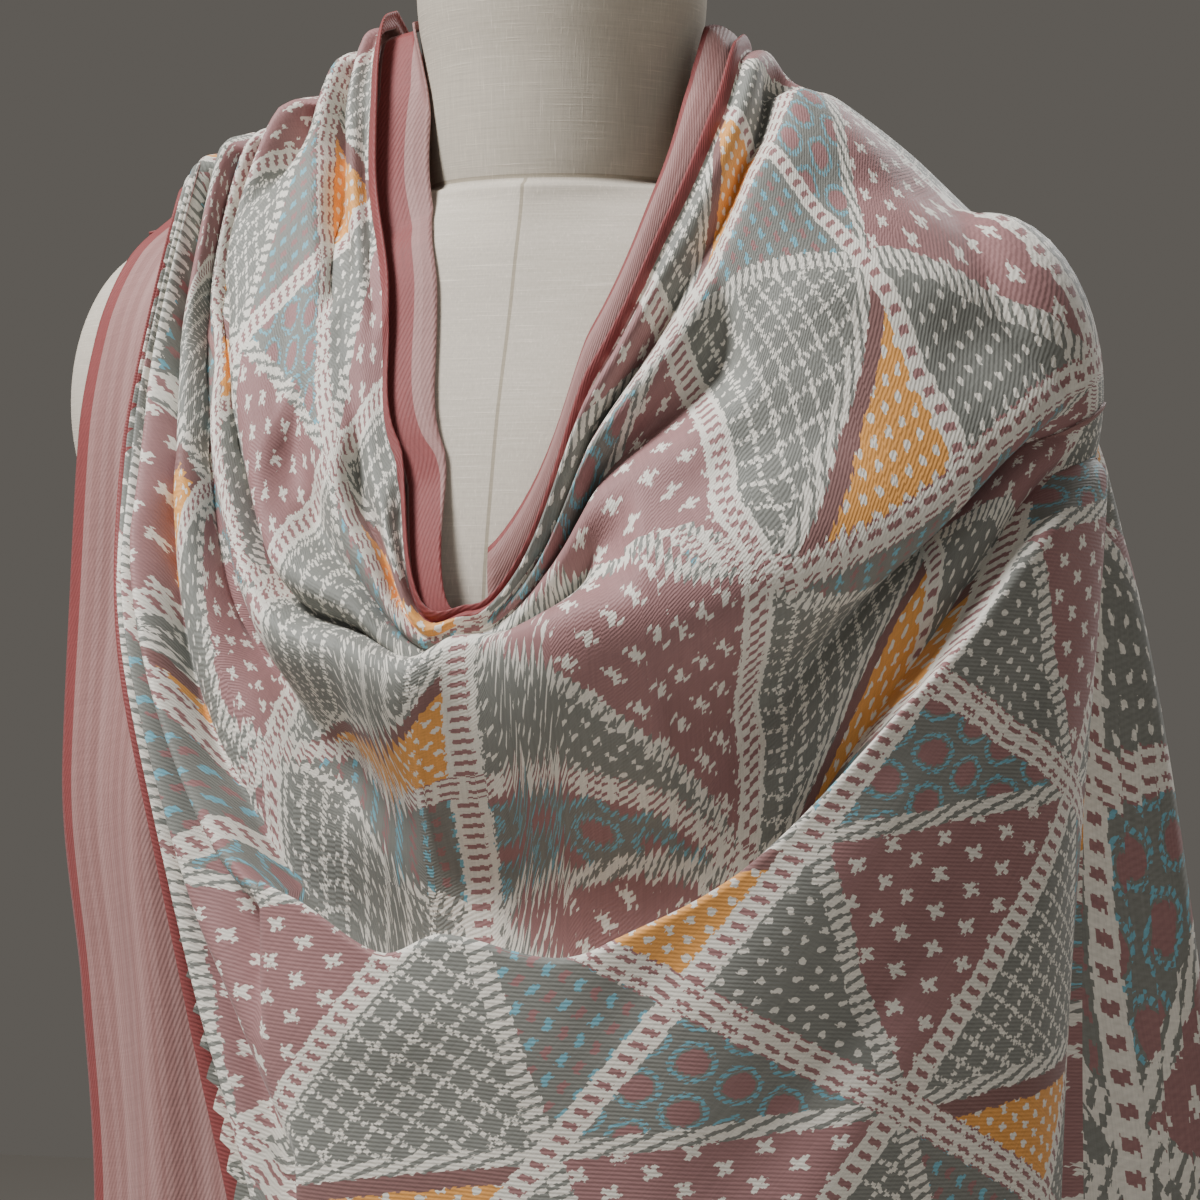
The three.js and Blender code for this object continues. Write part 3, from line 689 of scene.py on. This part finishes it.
def dots(u, v, pitch, radius):
    """1 on round dots in rows that are staggered by half a pitch."""
    row = (v / pitch[1]).op("FLOOR")
    du = (u + row * (pitch[0] / 2)).around(pitch[0])
    dv = v.around(pitch[1])
    return (du.op("POWER", 2) + dv.op("POWER", 2)).below(radius * radius)


def crosses(u, v):
    """1 on small upright crosses in staggered rows."""
    row = (v / CROSS_PITCH).op("FLOOR")
    du = (u + row * (CROSS_PITCH / 2)).around(CROSS_PITCH).abs()
    dv = v.around(CROSS_PITCH).abs()
    bar = du.below(CROSS_ARM) * dv.below(CROSS_THICK)
    post = du.below(CROSS_THICK) * dv.below(CROSS_ARM)
    return bar.either(post)


def lattice(u, v):
    """1 on broken lines both ways."""
    upright = u.stripes(*LATTICE_LINE) * v.stripes(*LATTICE_BREAK)
    level = v.stripes(*LATTICE_LINE) * u.stripes(*LATTICE_BREAK)
    return upright.either(level)


def print_cells(tree, u, v, rope_away):
    """Colours of the six kinds of triangle, by their side of the tile."""
    grey, mauve, white = linear(GREY), linear(MAUVE), linear(OFF_WHITE)
    orange, blue, brown = linear(ORANGE), linear(BLUE), linear(BROWN)
    pitch, share = DASH_ALONG
    dashes = u.stripes(pitch, share) * v.stripes(*DASH_ACROSS)
    dash_colour = mixed(tree, u.stripes(2 * pitch, 0.5), blue, mauve)
    outer, inner, spot = (dots(u, v, RING_PITCH, radius) for radius in RING_RADII)
    ring = mixed(tree, outer * (u + v).stripes(*RING_BREAK), grey, blue)
    orange_dots = mixed(tree, dots(u, v, **ORANGE_DOTS), orange, white)
    return {
        "left": mixed(tree, lattice(u, v), grey, white),
        "right": mixed(tree, crosses(u, v), mauve, white),
        "top left": mixed(tree, dashes, grey, dash_colour),
        "top right": mixed(tree, spot, mixed(tree, inner, ring, grey), mauve),
        "bottom left": mixed(tree, rope_away.below(BROWN_BAND), orange_dots, brown),
        "bottom right": mixed(tree, dots(u, v, **GREY_DOTS), grey, white),
    }


def print_colour(tree, along, across):
    """The charted patchwork: rails, ladders and ropes round triangles of small motifs."""
    grey, mauve, white = linear(GREY), linear(MAUVE), linear(OFF_WHITE)
    u = along + (random_step(tree, across, THREAD) - 0.5) * (2 * JAG)
    v = across + (random_step(tree, along, THREAD) - 0.5) * (2 * JAG)
    x = (u + TILE_SHIFT).around(TILE_LONG)
    y = (v - RAIL_AT).around(TILE_WIDE)
    ratio = TILE_LONG / TILE_WIDE
    past_rope = x.abs() - y.abs() * ratio
    rope_away = past_rope.abs() * (1 / math.hypot(1, ratio))
    cells = print_cells(tree, u, v, rope_away)
    left, top, sideways = x.below(0), y.below(0), past_rope.above(0)
    side = mixed(tree, left, cells["right"], cells["left"])
    upper = mixed(tree, left, cells["top right"], cells["top left"])
    lower = mixed(tree, left, cells["bottom right"], cells["bottom left"])
    colour = mixed(tree, sideways, mixed(tree, top, lower, upper), side)

    # ropes along both diagonals
    strand = (u / ROPE_STRAND["along"] + v / ROPE_STRAND["across"]).stripes(1, ROPE_STRAND["share"])
    colour = mixed(tree, rope_away.below(ROPE_HALF), colour, mixed(tree, strand, grey, white))

    # ladders at the tile's edges and middle
    ladder_away = x.abs().op("MINIMUM", (x.abs() - TILE_LONG / 2).abs())
    rung = ladder_away.below(RUNG_HALF) * v.stripes(*RUNG)
    colour = mixed(tree, ladder_away.below(LADDER_HALF), colour, mixed(tree, rung, white, mauve))

    # rails along the cloth
    rail_away = (y.abs() - TILE_WIDE / 2).abs()
    inner, outer = ((rail_away - place).abs().below(half) for place, half in RAIL_LINES)
    rail_colour = mixed(tree, inner.either(outer) * u.stripes(*RAIL_DASH), white, mauve)
    colour = mixed(tree, rail_away.below(RAIL_HALF), colour, rail_colour)
    return mixed(tree, selvedge(tree), colour, linear(DARK_RED))


# The cloth's weave: ribs, crinkle, and streaks of tone along and across
RIB = 0.3  # gives ribs 1.7 mm apart
RIB_HEIGHT = 0.35
CRINKLE = {"along": 0.35, "across": 1.3, "scale": 0.35}
CRINKLE_HEIGHT = 1.6
STREAKS = {"long": 0.05, "fine": 1.5, "scale": 0.9, "amount": 0.35}


def stretched_noise(tree, along, across, scale, detail):
    """Noise from 0 to 1 over the cloth, with its places already stretched."""
    place = add_node(tree, "ShaderNodeCombineXYZ", {}, [along.socket, across.socket, 0.0])
    inputs = {"Vector": place.outputs[0], "Scale": scale, "Detail": detail}
    return SocketValue(tree, add_node(tree, "ShaderNodeTexNoise", {}, inputs).outputs[0])


def weave_height(tree, along, across):
    """Twill ribs, coarser than real ones so that they show, with a slight crinkle."""
    rib = ((along * 0.5 + across) / RIB).op("SINE")
    place = along * CRINKLE["along"], across * CRINKLE["across"]
    crinkle = stretched_noise(tree, *place, CRINKLE["scale"], 4.0)
    return rib * RIB_HEIGHT + crinkle * CRINKLE_HEIGHT


def thread_tone(tree, along, across):
    """Uneven dyeing and thread thickness as streaks both ways."""
    long, fine, scale, amount = STREAKS.values()
    tone = [
        (stretched_noise(tree, along * a, across * b, scale, 2.0) - 0.5) * amount
        for a, b in ((long, fine), (fine, long))
    ]
    return tone[0] + tone[1] + 1


def shaded(tree, colour, tone):
    """Colour, a socket or a constant, times tone."""
    colour = colour if isinstance(colour, bpy.types.NodeSocket) else colour[:3]
    inputs = {0: colour, "Scale": tone.socket}
    return add_node(tree, "ShaderNodeVectorMath", {"operation": "SCALE"}, inputs).outputs[0]


def new_material(name, inputs):
    """A material with these surface inputs, its node tree and its surface node."""
    material = bpy.data.materials.new(name)
    material.use_nodes = True
    surface = material.node_tree.nodes["Principled BSDF"]
    for key, value in inputs.items():
        surface.inputs[key].default_value = value
    return material, material.node_tree, surface


def add_bump(tree, surface, height, strength, distance):
    inputs = {"Strength": strength, "Distance": distance, "Height": height.socket}
    bump = add_node(tree, "ShaderNodeBump", {}, inputs)
    tree.links.new(bump.outputs[0], surface.inputs["Normal"])


def cloth_material(name, colour_of):
    """A fine wool and silk twill: soft sheen, low gloss, ribs that catch side light."""
    finish = {"Roughness": 0.62, "Sheen Weight": 0.12, "Sheen Roughness": 0.4, "Specular IOR Level": 0.35}
    material, tree, surface = new_material(name, finish)
    place = map_sockets(tree, "cloth")
    colour = shaded(tree, colour_of(tree, *place), thread_tone(tree, *place))
    tree.links.new(colour, surface.inputs["Base Color"])
    add_bump(tree, surface, weave_height(tree, *place), 0.28, 0.0006)
    return material


def reverse_colour(tree, _, across):
    """Plain mauve with faint tonal stripes and a dark red selvedge."""
    wide, narrow = (across.stripes(*stripe) for stripe in REVERSE_STRIPES)
    plain = mixed(tree, wide * 0.5 + narrow * 0.5, linear(REVERSE), linear(REVERSE_STRIPE))
    return mixed(tree, selvedge(tree), plain, linear(DARK_RED))


def object_streaks(tree, scales, turn=0, detail=3.0):
    """Noise about 0 in object coordinates, stretched by scales in cycles for each metre."""
    where = add_node(tree, "ShaderNodeTexCoord")
    inputs = {"Vector": where.outputs["Object"], "Rotation": (0, turn, 0), "Scale": scales}
    mapping = add_node(tree, "ShaderNodeMapping", {}, inputs)
    inputs = {"Vector": mapping.outputs[0], "Scale": 1.0, "Detail": detail}
    return SocketValue(tree, add_node(tree, "ShaderNodeTexNoise", {}, inputs).outputs[0]) - 0.5


# The form's linen
LINEN_THREAD = {"along": 50, "across": 1500}  # cycles for each metre
NECK_SLANT = 0.7  # the neck's linen is cut on the slant
THREAD_SHADE = 0.3
SLUB_FROM = 0.13  # from this shade on, a thread thickens to a slub
SLUB_SHADE = 1.6
FRONT_SEAM_HALF = 0.7
NECK_SEAM_HALF = 0.8
SEAM_DEPTH = 1.2


def linen_threads(tree, turn):
    """Shade of threads both ways, with thicker slubs."""
    along, across = LINEN_THREAD.values()
    level = object_streaks(tree, (along, along, across), turn)
    upright = object_streaks(tree, (across, across, along), turn)
    slubs = (level.either(upright) - SLUB_FROM).either(0.0) * SLUB_SHADE
    return level * THREAD_SHADE + upright * THREAD_SHADE + slubs


def linen_material():
    """Natural linen canvas stretched over the form: matt, slubs both ways, slanting on the neck,
    and a stitched seam down the front and round the neck's base."""
    finish = {"Roughness": 0.9, "Specular IOR Level": 0.25}
    material, tree, surface = new_material("linen canvas", finish)
    where = add_node(tree, "ShaderNodeTexCoord")
    parts = add_node(tree, "ShaderNodeSeparateXYZ", {}, [where.outputs["Object"]])
    x, y, z = (SocketValue(tree, parts.outputs[k]) * 1000 for k in range(3))
    on_neck = z.above(NECK_BASE)
    body, neck = (linen_threads(tree, turn) for turn in (0, NECK_SLANT))
    tone = body + (neck - body) * on_neck
    front_seam = x.abs().below(FRONT_SEAM_HALF) * y.below(0) * z.below(NECK_BASE)
    seam = front_seam.either((z - NECK_BASE).abs().below(NECK_SEAM_HALF))
    cloth = mixed(tree, on_neck, linear(LINEN), linear(NECK_LINEN))
    colour = shaded(tree, mixed(tree, seam, cloth, linear(SEAM_SHADE)), tone + 1)
    tree.links.new(colour, surface.inputs["Base Color"])
    add_bump(tree, surface, tone - seam * SEAM_DEPTH, 0.4, 0.0006)
    return material


def wood_material():
    """Stained, varnished wood: warm brown with darker grain and a soft coat."""
    material, tree, surface = new_material("varnished beech", {"Roughness": 0.4, "Coat Weight": 0.4})
    grain = object_streaks(tree, (12, 160, 12), detail=5.0)
    tree.links.new(shaded(tree, linear(WOOD_STAIN), grain * 1.6 + 1), surface.inputs["Base Color"])
    return material


def steel_material():
    """Satin dark paint on steel, with a fine orange-peel texture."""
    material, tree, surface = new_material("painted steel", {"Roughness": 0.38})
    peel = object_streaks(tree, (900, 900, 900))
    tree.links.new(shaded(tree, linear(STAND_PAINT), peel * 0.15 + 1), surface.inputs["Base Color"])
    add_bump(tree, surface, peel, 0.1, 0.0002)
    return material


PRINT = cloth_material("printed twill", print_colour)
PLAIN = cloth_material("plain twill reverse", reverse_colour)
LINEN_CLOTH = linen_material()
WOOD = wood_material()
STEEL = steel_material()


# The shawl's print side in one sheet: thrown end, pleats, swag, cape and back
ROWS_PER_FOLD = 15
FRONT_FROM = -90
FRONT_STEP = 1.1  # degrees between columns
BACK_STEP = 2.0
THROWN_COLUMNS = 60
THROWN_TURN = (-170, -91)  # stand-in azimuths for its columns, which follow the shoulder down
SKIRT_FROM = -74  # azimuths between which the cloth below the pocket hangs on the bias
SKIRT_TO = 104
EVEN_ROW = UPPER_SWAG * ROWS_PER_FOLD  # row whose length half evens out that of the others
LIP_ROW = (POCKET_FOLD + 1) * ROWS_PER_FOLD  # row along the ridge of the lower swag


def up_to(first, last, step):
    """Azimuths of columns from first to last."""
    return np.arange(first, last + 0.01, step)


def print_side_points(front_at, back_at, s):
    """Points of the print side, column by column from the foot of the thrown end."""
    front = front_cloth(*np.meshgrid(front_at, s, indexing="ij"))
    edges = np.interp(s, np.arange(FOLD_COUNT + 1), fold_table(front_at[-1:])[0][0])
    share = (edges - edges[0]) / (edges[-1] - edges[0])
    back = back_cloth(*np.meshgrid(back_at, share, indexing="ij"))
    down = np.linspace(1, 0, THROWN_COLUMNS + 1)[:-1]
    thrown = thrown_cloth(*np.meshgrid(down, s, indexing="ij"), front[0])
    return np.concatenate([thrown, front, back])


def build_print_side():
    s = np.linspace(0, FOLD_COUNT, FOLD_COUNT * ROWS_PER_FOLD + 1)
    front_at = up_to(FRONT_FROM, FLARE, FRONT_STEP)
    back_at = up_to(FLARE + BACK_STEP, BACK_END, BACK_STEP)
    points = print_side_points(front_at, back_at, s)
    azimuths = np.concatenate([np.linspace(*THROWN_TURN, THROWN_COLUMNS), front_at, back_at])
    across, lower, fold = cloth_across(points, azimuths, s)
    centre = THROWN_COLUMNS + int(np.argmin(np.abs(front_at)))
    along = on_faces(cloth_along(points, azimuths, centre, EVEN_ROW, 0.5))
    uv = np.stack([along, across], -1)
    hangs = lower & (fold == POCKET_FOLD) | (fold > POCKET_FOLD)
    hangs &= ((azimuths[:-1] > SKIRT_FROM) & (azimuths[:-1] < SKIRT_TO))[:, None]
    skirt = on_faces(skirt_uv(points, azimuths, LIP_ROW))
    uv = np.where(hangs[..., None, None], skirt, uv)
    down = walked(points, 1)
    near = on_faces(down)
    edges = np.stack([near, down[:-1, -1, None, None] - near], -1)
    cloth = sheet_object("shawl_print_side", points, uv, edges, [PRINT, PLAIN])
    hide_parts("front_swag", "shoulder_pleats", "right_cape", "back_drape", "thrown_end")
    return cloth


# The other end, in front of the left arm with its reverse out
UNDER_END = [
    # down, free edge, middle, side behind the print
    (0, (-164, -4, 1348), (-150, -4, 1351), (-118, -4, 1357)),
    (0.05, (-176, -22, 1330), (-151, -32, 1331), (-114, -34, 1340)),
    (0.1, (-184, -38, 1298), (-150, -52, 1299), (-112, -52, 1304)),
    (0.17, (-187, -50, 1255), (-147, -66, 1252), (-106, -72, 1254)),
    (0.28, (-187, -59, 1189), (-144, -76, 1184), (-98, -80, 1186)),
    (0.38, (-187, -66, 1125), (-142, -88, 1118), (-92, -88, 1118)),
    (0.55, (-177, -70, 1036), (-132, -96, 1030), (-84, -100, 1030)),
    (0.72, (-170, -74, 950), (-126, -100, 944), (-78, -104, 944)),
    (1, (-168, -84, 768), (-124, -108, 762), (-74, -112, 762)),
]
UNDER_ROOM = 5.5  # least room between it and the form
RIPPLE = 2.2


def build_under_end():
    share, down = np.meshgrid(np.linspace(0, 1, 60), np.linspace(0, 1, 150), indexing="ij")
    places = [np.array(column(UNDER_END, k), float) for k in (1, 2, 3)]
    columns = [
        np.stack([smooth(column(UNDER_END, 0), place[:, axis], down) for axis in range(3)], -1)
        for place in places
    ]
    points = smooth_path([0, 0.5, 1], columns, share)
    ripple = RIPPLE * np.sin(14 * share + 3 * down) * ease(down * 3) * ease(share * 5)
    points = points + normals(points) * ripple[..., None]
    points = clear_of_form(points, np.full(share.shape, UNDER_ROOM))
    uv = on_faces(np.stack([walked(points, 1), walked(points, 0)], -1))
    edges = np.stack([uv[..., 1], SHAWL_WIDTH - uv[..., 1]], -1)
    cloth = sheet_object("shawl_under_end", points, uv, edges, [PLAIN, PRINT])
    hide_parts("under_end")
    return cloth


# The reverse side shows as a narrow band inside the neckline, in two pieces that meet in front
BAND_TUCK = 8  # how far it lies under the neckline's edge
BAND_SEAM = 2  # azimuth where the two pieces meet
BAND_GAP = 0.35  # degrees from there to each piece
BAND_ENDS = (-88, 108)
BAND_ROWS = 14
BAND_SINK = 0.7  # share of the neckline's sink that the band follows
BAND_RIGHT = 24  # greatest width in view of the right piece
RIGHT_DEPTHS = (3, 7.3)  # how far its free edge and its tucked edge lie behind the ridges
RIGHT_BULGE = 2
BAND_LEFT = 21  # width in view of the left piece
LEFT_DEPTHS = (8, 6)  # how far its tucked edge and its free edge lie behind the ridges
LEFT_TURN = 12  # how much further down its free edge faces
LEFT_NARROWS = (-30, 28)  # azimuth from which it narrows, and degrees in which it does
LEFT_FRONT = 0.4  # share of its width left in front
LEFT_ROOM = 2.5


def neckline(azimuth):
    """Run of the neckline's edge, and how far it lies behind the outer ridges."""
    return [values[..., 0] for values in fold_table(azimuth)]


def build_neck_band_right():
    azimuths = np.linspace(BAND_SEAM + BAND_GAP, BAND_ENDS[1], 90)
    azimuth, share = np.meshgrid(azimuths, np.linspace(0, 1, BAND_ROWS), indexing="ij")
    edge, sink = neckline(azimuth)
    inner = np.maximum(edge - BAND_RIGHT, 0)
    ridges = on_wrap(azimuth, inner + (edge + BAND_TUCK - inner) * share)
    free, tucked = RIGHT_DEPTHS
    depth = free + (tucked - free) * ease(share) - RIGHT_BULGE * np.sin(np.pi * share) + sink * BAND_SINK
    points = clear_of_form(ridges - normals(ridges) * depth[..., None], np.full(share.shape, LAYER))
    uv = on_faces(np.stack([walked(points, 0)[:, :1] + 0 * share, walked(points, 1) + 4], -1))
    band = sheet_object("shawl_neck_band_right", points, uv, uv[..., [1, 1]], [PLAIN, PLAIN])
    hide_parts("neck_band_right")
    return band


def build_neck_band_left():
    azimuths = np.linspace(BAND_ENDS[0], BAND_SEAM - BAND_GAP, 100)
    azimuth, share = np.meshgrid(azimuths, np.linspace(0, 1, BAND_ROWS), indexing="ij")
    edge, sink = neckline(azimuth)
    ridges = on_wrap(azimuth, edge + BAND_TUCK * (1 - share))
    tucked, free = LEFT_DEPTHS
    depth = tucked + (free - tucked) * share + sink * BAND_SINK
    points = ridges - normals(on_wrap(azimuth, edge + LEFT_TURN * share)) * depth[..., None]
    first, over = LEFT_NARROWS
    width = BAND_LEFT * (1 - (1 - LEFT_FRONT) * ease((azimuth - first) / over))
    points[..., 0] += width * share
    points = clear_of_form(points, np.full(share.shape, LEFT_ROOM))
    across = walked(points, 1) - BAND_TUCK
    uv = on_faces(np.stack([walked(points, 0)[:, :1] + 0 * share, across], -1))
    uv = uv[:, ::-1][:, :, [1, 0, 3, 2]]
    edges = np.abs(uv[..., [1, 1]])
    band = sheet_object("shawl_neck_band_left", points[:, ::-1], uv, edges, [PLAIN, PLAIN])
    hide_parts("neck_band_left")
    return band


# The form
FORM_LEVELS = [(690, 1300, 50), (1302, 1366, 50), (1370, 1440, 20)]  # from, to, rings
FORM_SIDES = 128
FORM_TURN = 0.01  # keeps its corners off the axes
NECK_TOP = [(0.99, 1443), (0.94, 1446.5), (0.85, 1448), (0.4, 1448), (0.01, 1448)]  # share, height


def form_rings():
    """Rings of points of torso and neck, from the closed underside to the neck's rounded top."""
    levels = np.concatenate([np.linspace(*part) for part in FORM_LEVELS])
    turn = np.linspace(0, 2 * np.pi, FORM_SIDES, endpoint=False) + FORM_TURN
    z, angle = np.meshgrid(levels, turn, indexing="ij")
    reach = form_reach(np.sin(angle), np.cos(angle), z)
    rings = np.stack([reach * np.sin(angle), reach * np.cos(angle), z], -1)
    underside = rings[:1] * [0.01, 0.01, 1]
    top = [rings[-1:] * [share, share, 0] + [0, 0, height] for share, height in NECK_TOP]
    return np.concatenate([underside, rings, *top])


def build_form_body():
    """The form's skin, smooth where its solid is faceted."""
    points = form_rings()
    index = np.arange(len(points) * FORM_SIDES).reshape(-1, FORM_SIDES)
    index = np.concatenate([index, index[:, :1]], 1)
    faces = on_faces(index).reshape(-1, 4)[:, ::-1].tolist()
    faces += [index[0, :-1].tolist(), index[-1, :-1][::-1].tolist()]
    mesh = bpy.data.meshes.new("form_body")
    mesh.from_pydata((points.reshape(-1, 3) * MM).tolist(), [], faces)
    mesh.polygons.foreach_set("use_smooth", [True] * len(mesh.polygons))
    mesh.materials.append(LINEN_CLOTH)
    body = bpy.data.objects.new("form_body", mesh)
    bpy.context.collection.objects.link(body)
    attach(body, "root")
    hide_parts("form_torso", "form_neck_cap")


def build_arm_cap(name, side):
    """An egg-shaped cap, half sunk in the torso where an arm would start."""
    bpy.ops.object.select_all(action="DESELECT")
    x, y, z = (c * MM for c in ARM_CAP["middle"])
    bpy.ops.mesh.primitive_uv_sphere_add(segments=64, ring_count=40, radius=1, location=(side * x, y, z))
    cap = bpy.context.object
    cap.name = name
    cap.scale = [c * MM for c in ARM_CAP["size"]]
    bpy.ops.object.transform_apply(location=True, rotation=True, scale=True)
    bpy.ops.object.shade_smooth()
    cap.data.materials.append(LINEN_CLOTH)
    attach(cap, "root")
    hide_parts("form_torso")


def finish_stand():
    """The plate, pole and foot keep their solids and get their finishes."""
    finishes = {"form_base_plate": WOOD, "stand_pole": STEEL, "stand_foot": STEEL}
    for name, material in finishes.items():
        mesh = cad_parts[name].data
        mesh.materials.clear()
        mesh.materials.append(material)


# The studio, in metres: a pale floor, faint light all round, and a key light from above left
FLOOR_SIZE = 12
AIR_STRENGTH = 0.3
LIGHTS_AIM = (0, 0, 1.15)
LIGHTS = [
    # name, place, size, watts
    ("key", (-1.15, -1.0, 3.2), 0.7, 120),
    ("fill", (1.6, -2.6, 1.5), 1.8, 9),
    ("rim", (0.8, 2.0, 2.4), 1.0, 30),
]


def add_light(name, place, size, watts):
    data = bpy.data.lights.new(name, "AREA")
    data.size = size
    data.energy = watts
    lamp = bpy.data.objects.new(name, data)
    lamp.location = place
    x, y, z = (a - b for a, b in zip(LIGHTS_AIM, place))
    tilt = math.pi / 2 + math.atan2(z, math.hypot(x, y))
    lamp.rotation_euler = (tilt, 0, math.atan2(y, x) - math.pi / 2)
    bpy.context.collection.objects.link(lamp)


def add_stage():
    bpy.ops.mesh.primitive_plane_add(size=FLOOR_SIZE, location=(0, 0, 0))
    floor = bpy.context.object
    floor.name = "floor"
    material, _, surface = new_material("pale studio paper", {"Roughness": 0.9})
    surface.inputs["Base Color"].default_value = linear(FLOOR_PAPER)
    floor.data.materials.append(material)
    world = bpy.data.worlds.new("studio")
    bpy.context.scene.world = world
    world.use_nodes = True
    background = world.node_tree.nodes["Background"]
    background.inputs[0].default_value = linear(STUDIO_AIR)
    background.inputs[1].default_value = AIR_STRENGTH
    for name, place, size, watts in LIGHTS:
        add_light(name, place, size, watts)


add_camera()
print_side = build_print_side()
under_end = build_under_end()
neck_bands = [build_neck_band_right(), build_neck_band_left()]
build_form_body()
build_arm_cap("form_arm_cap_left", -1)
build_arm_cap("form_arm_cap_right", 1)
finish_stand()
add_stage()
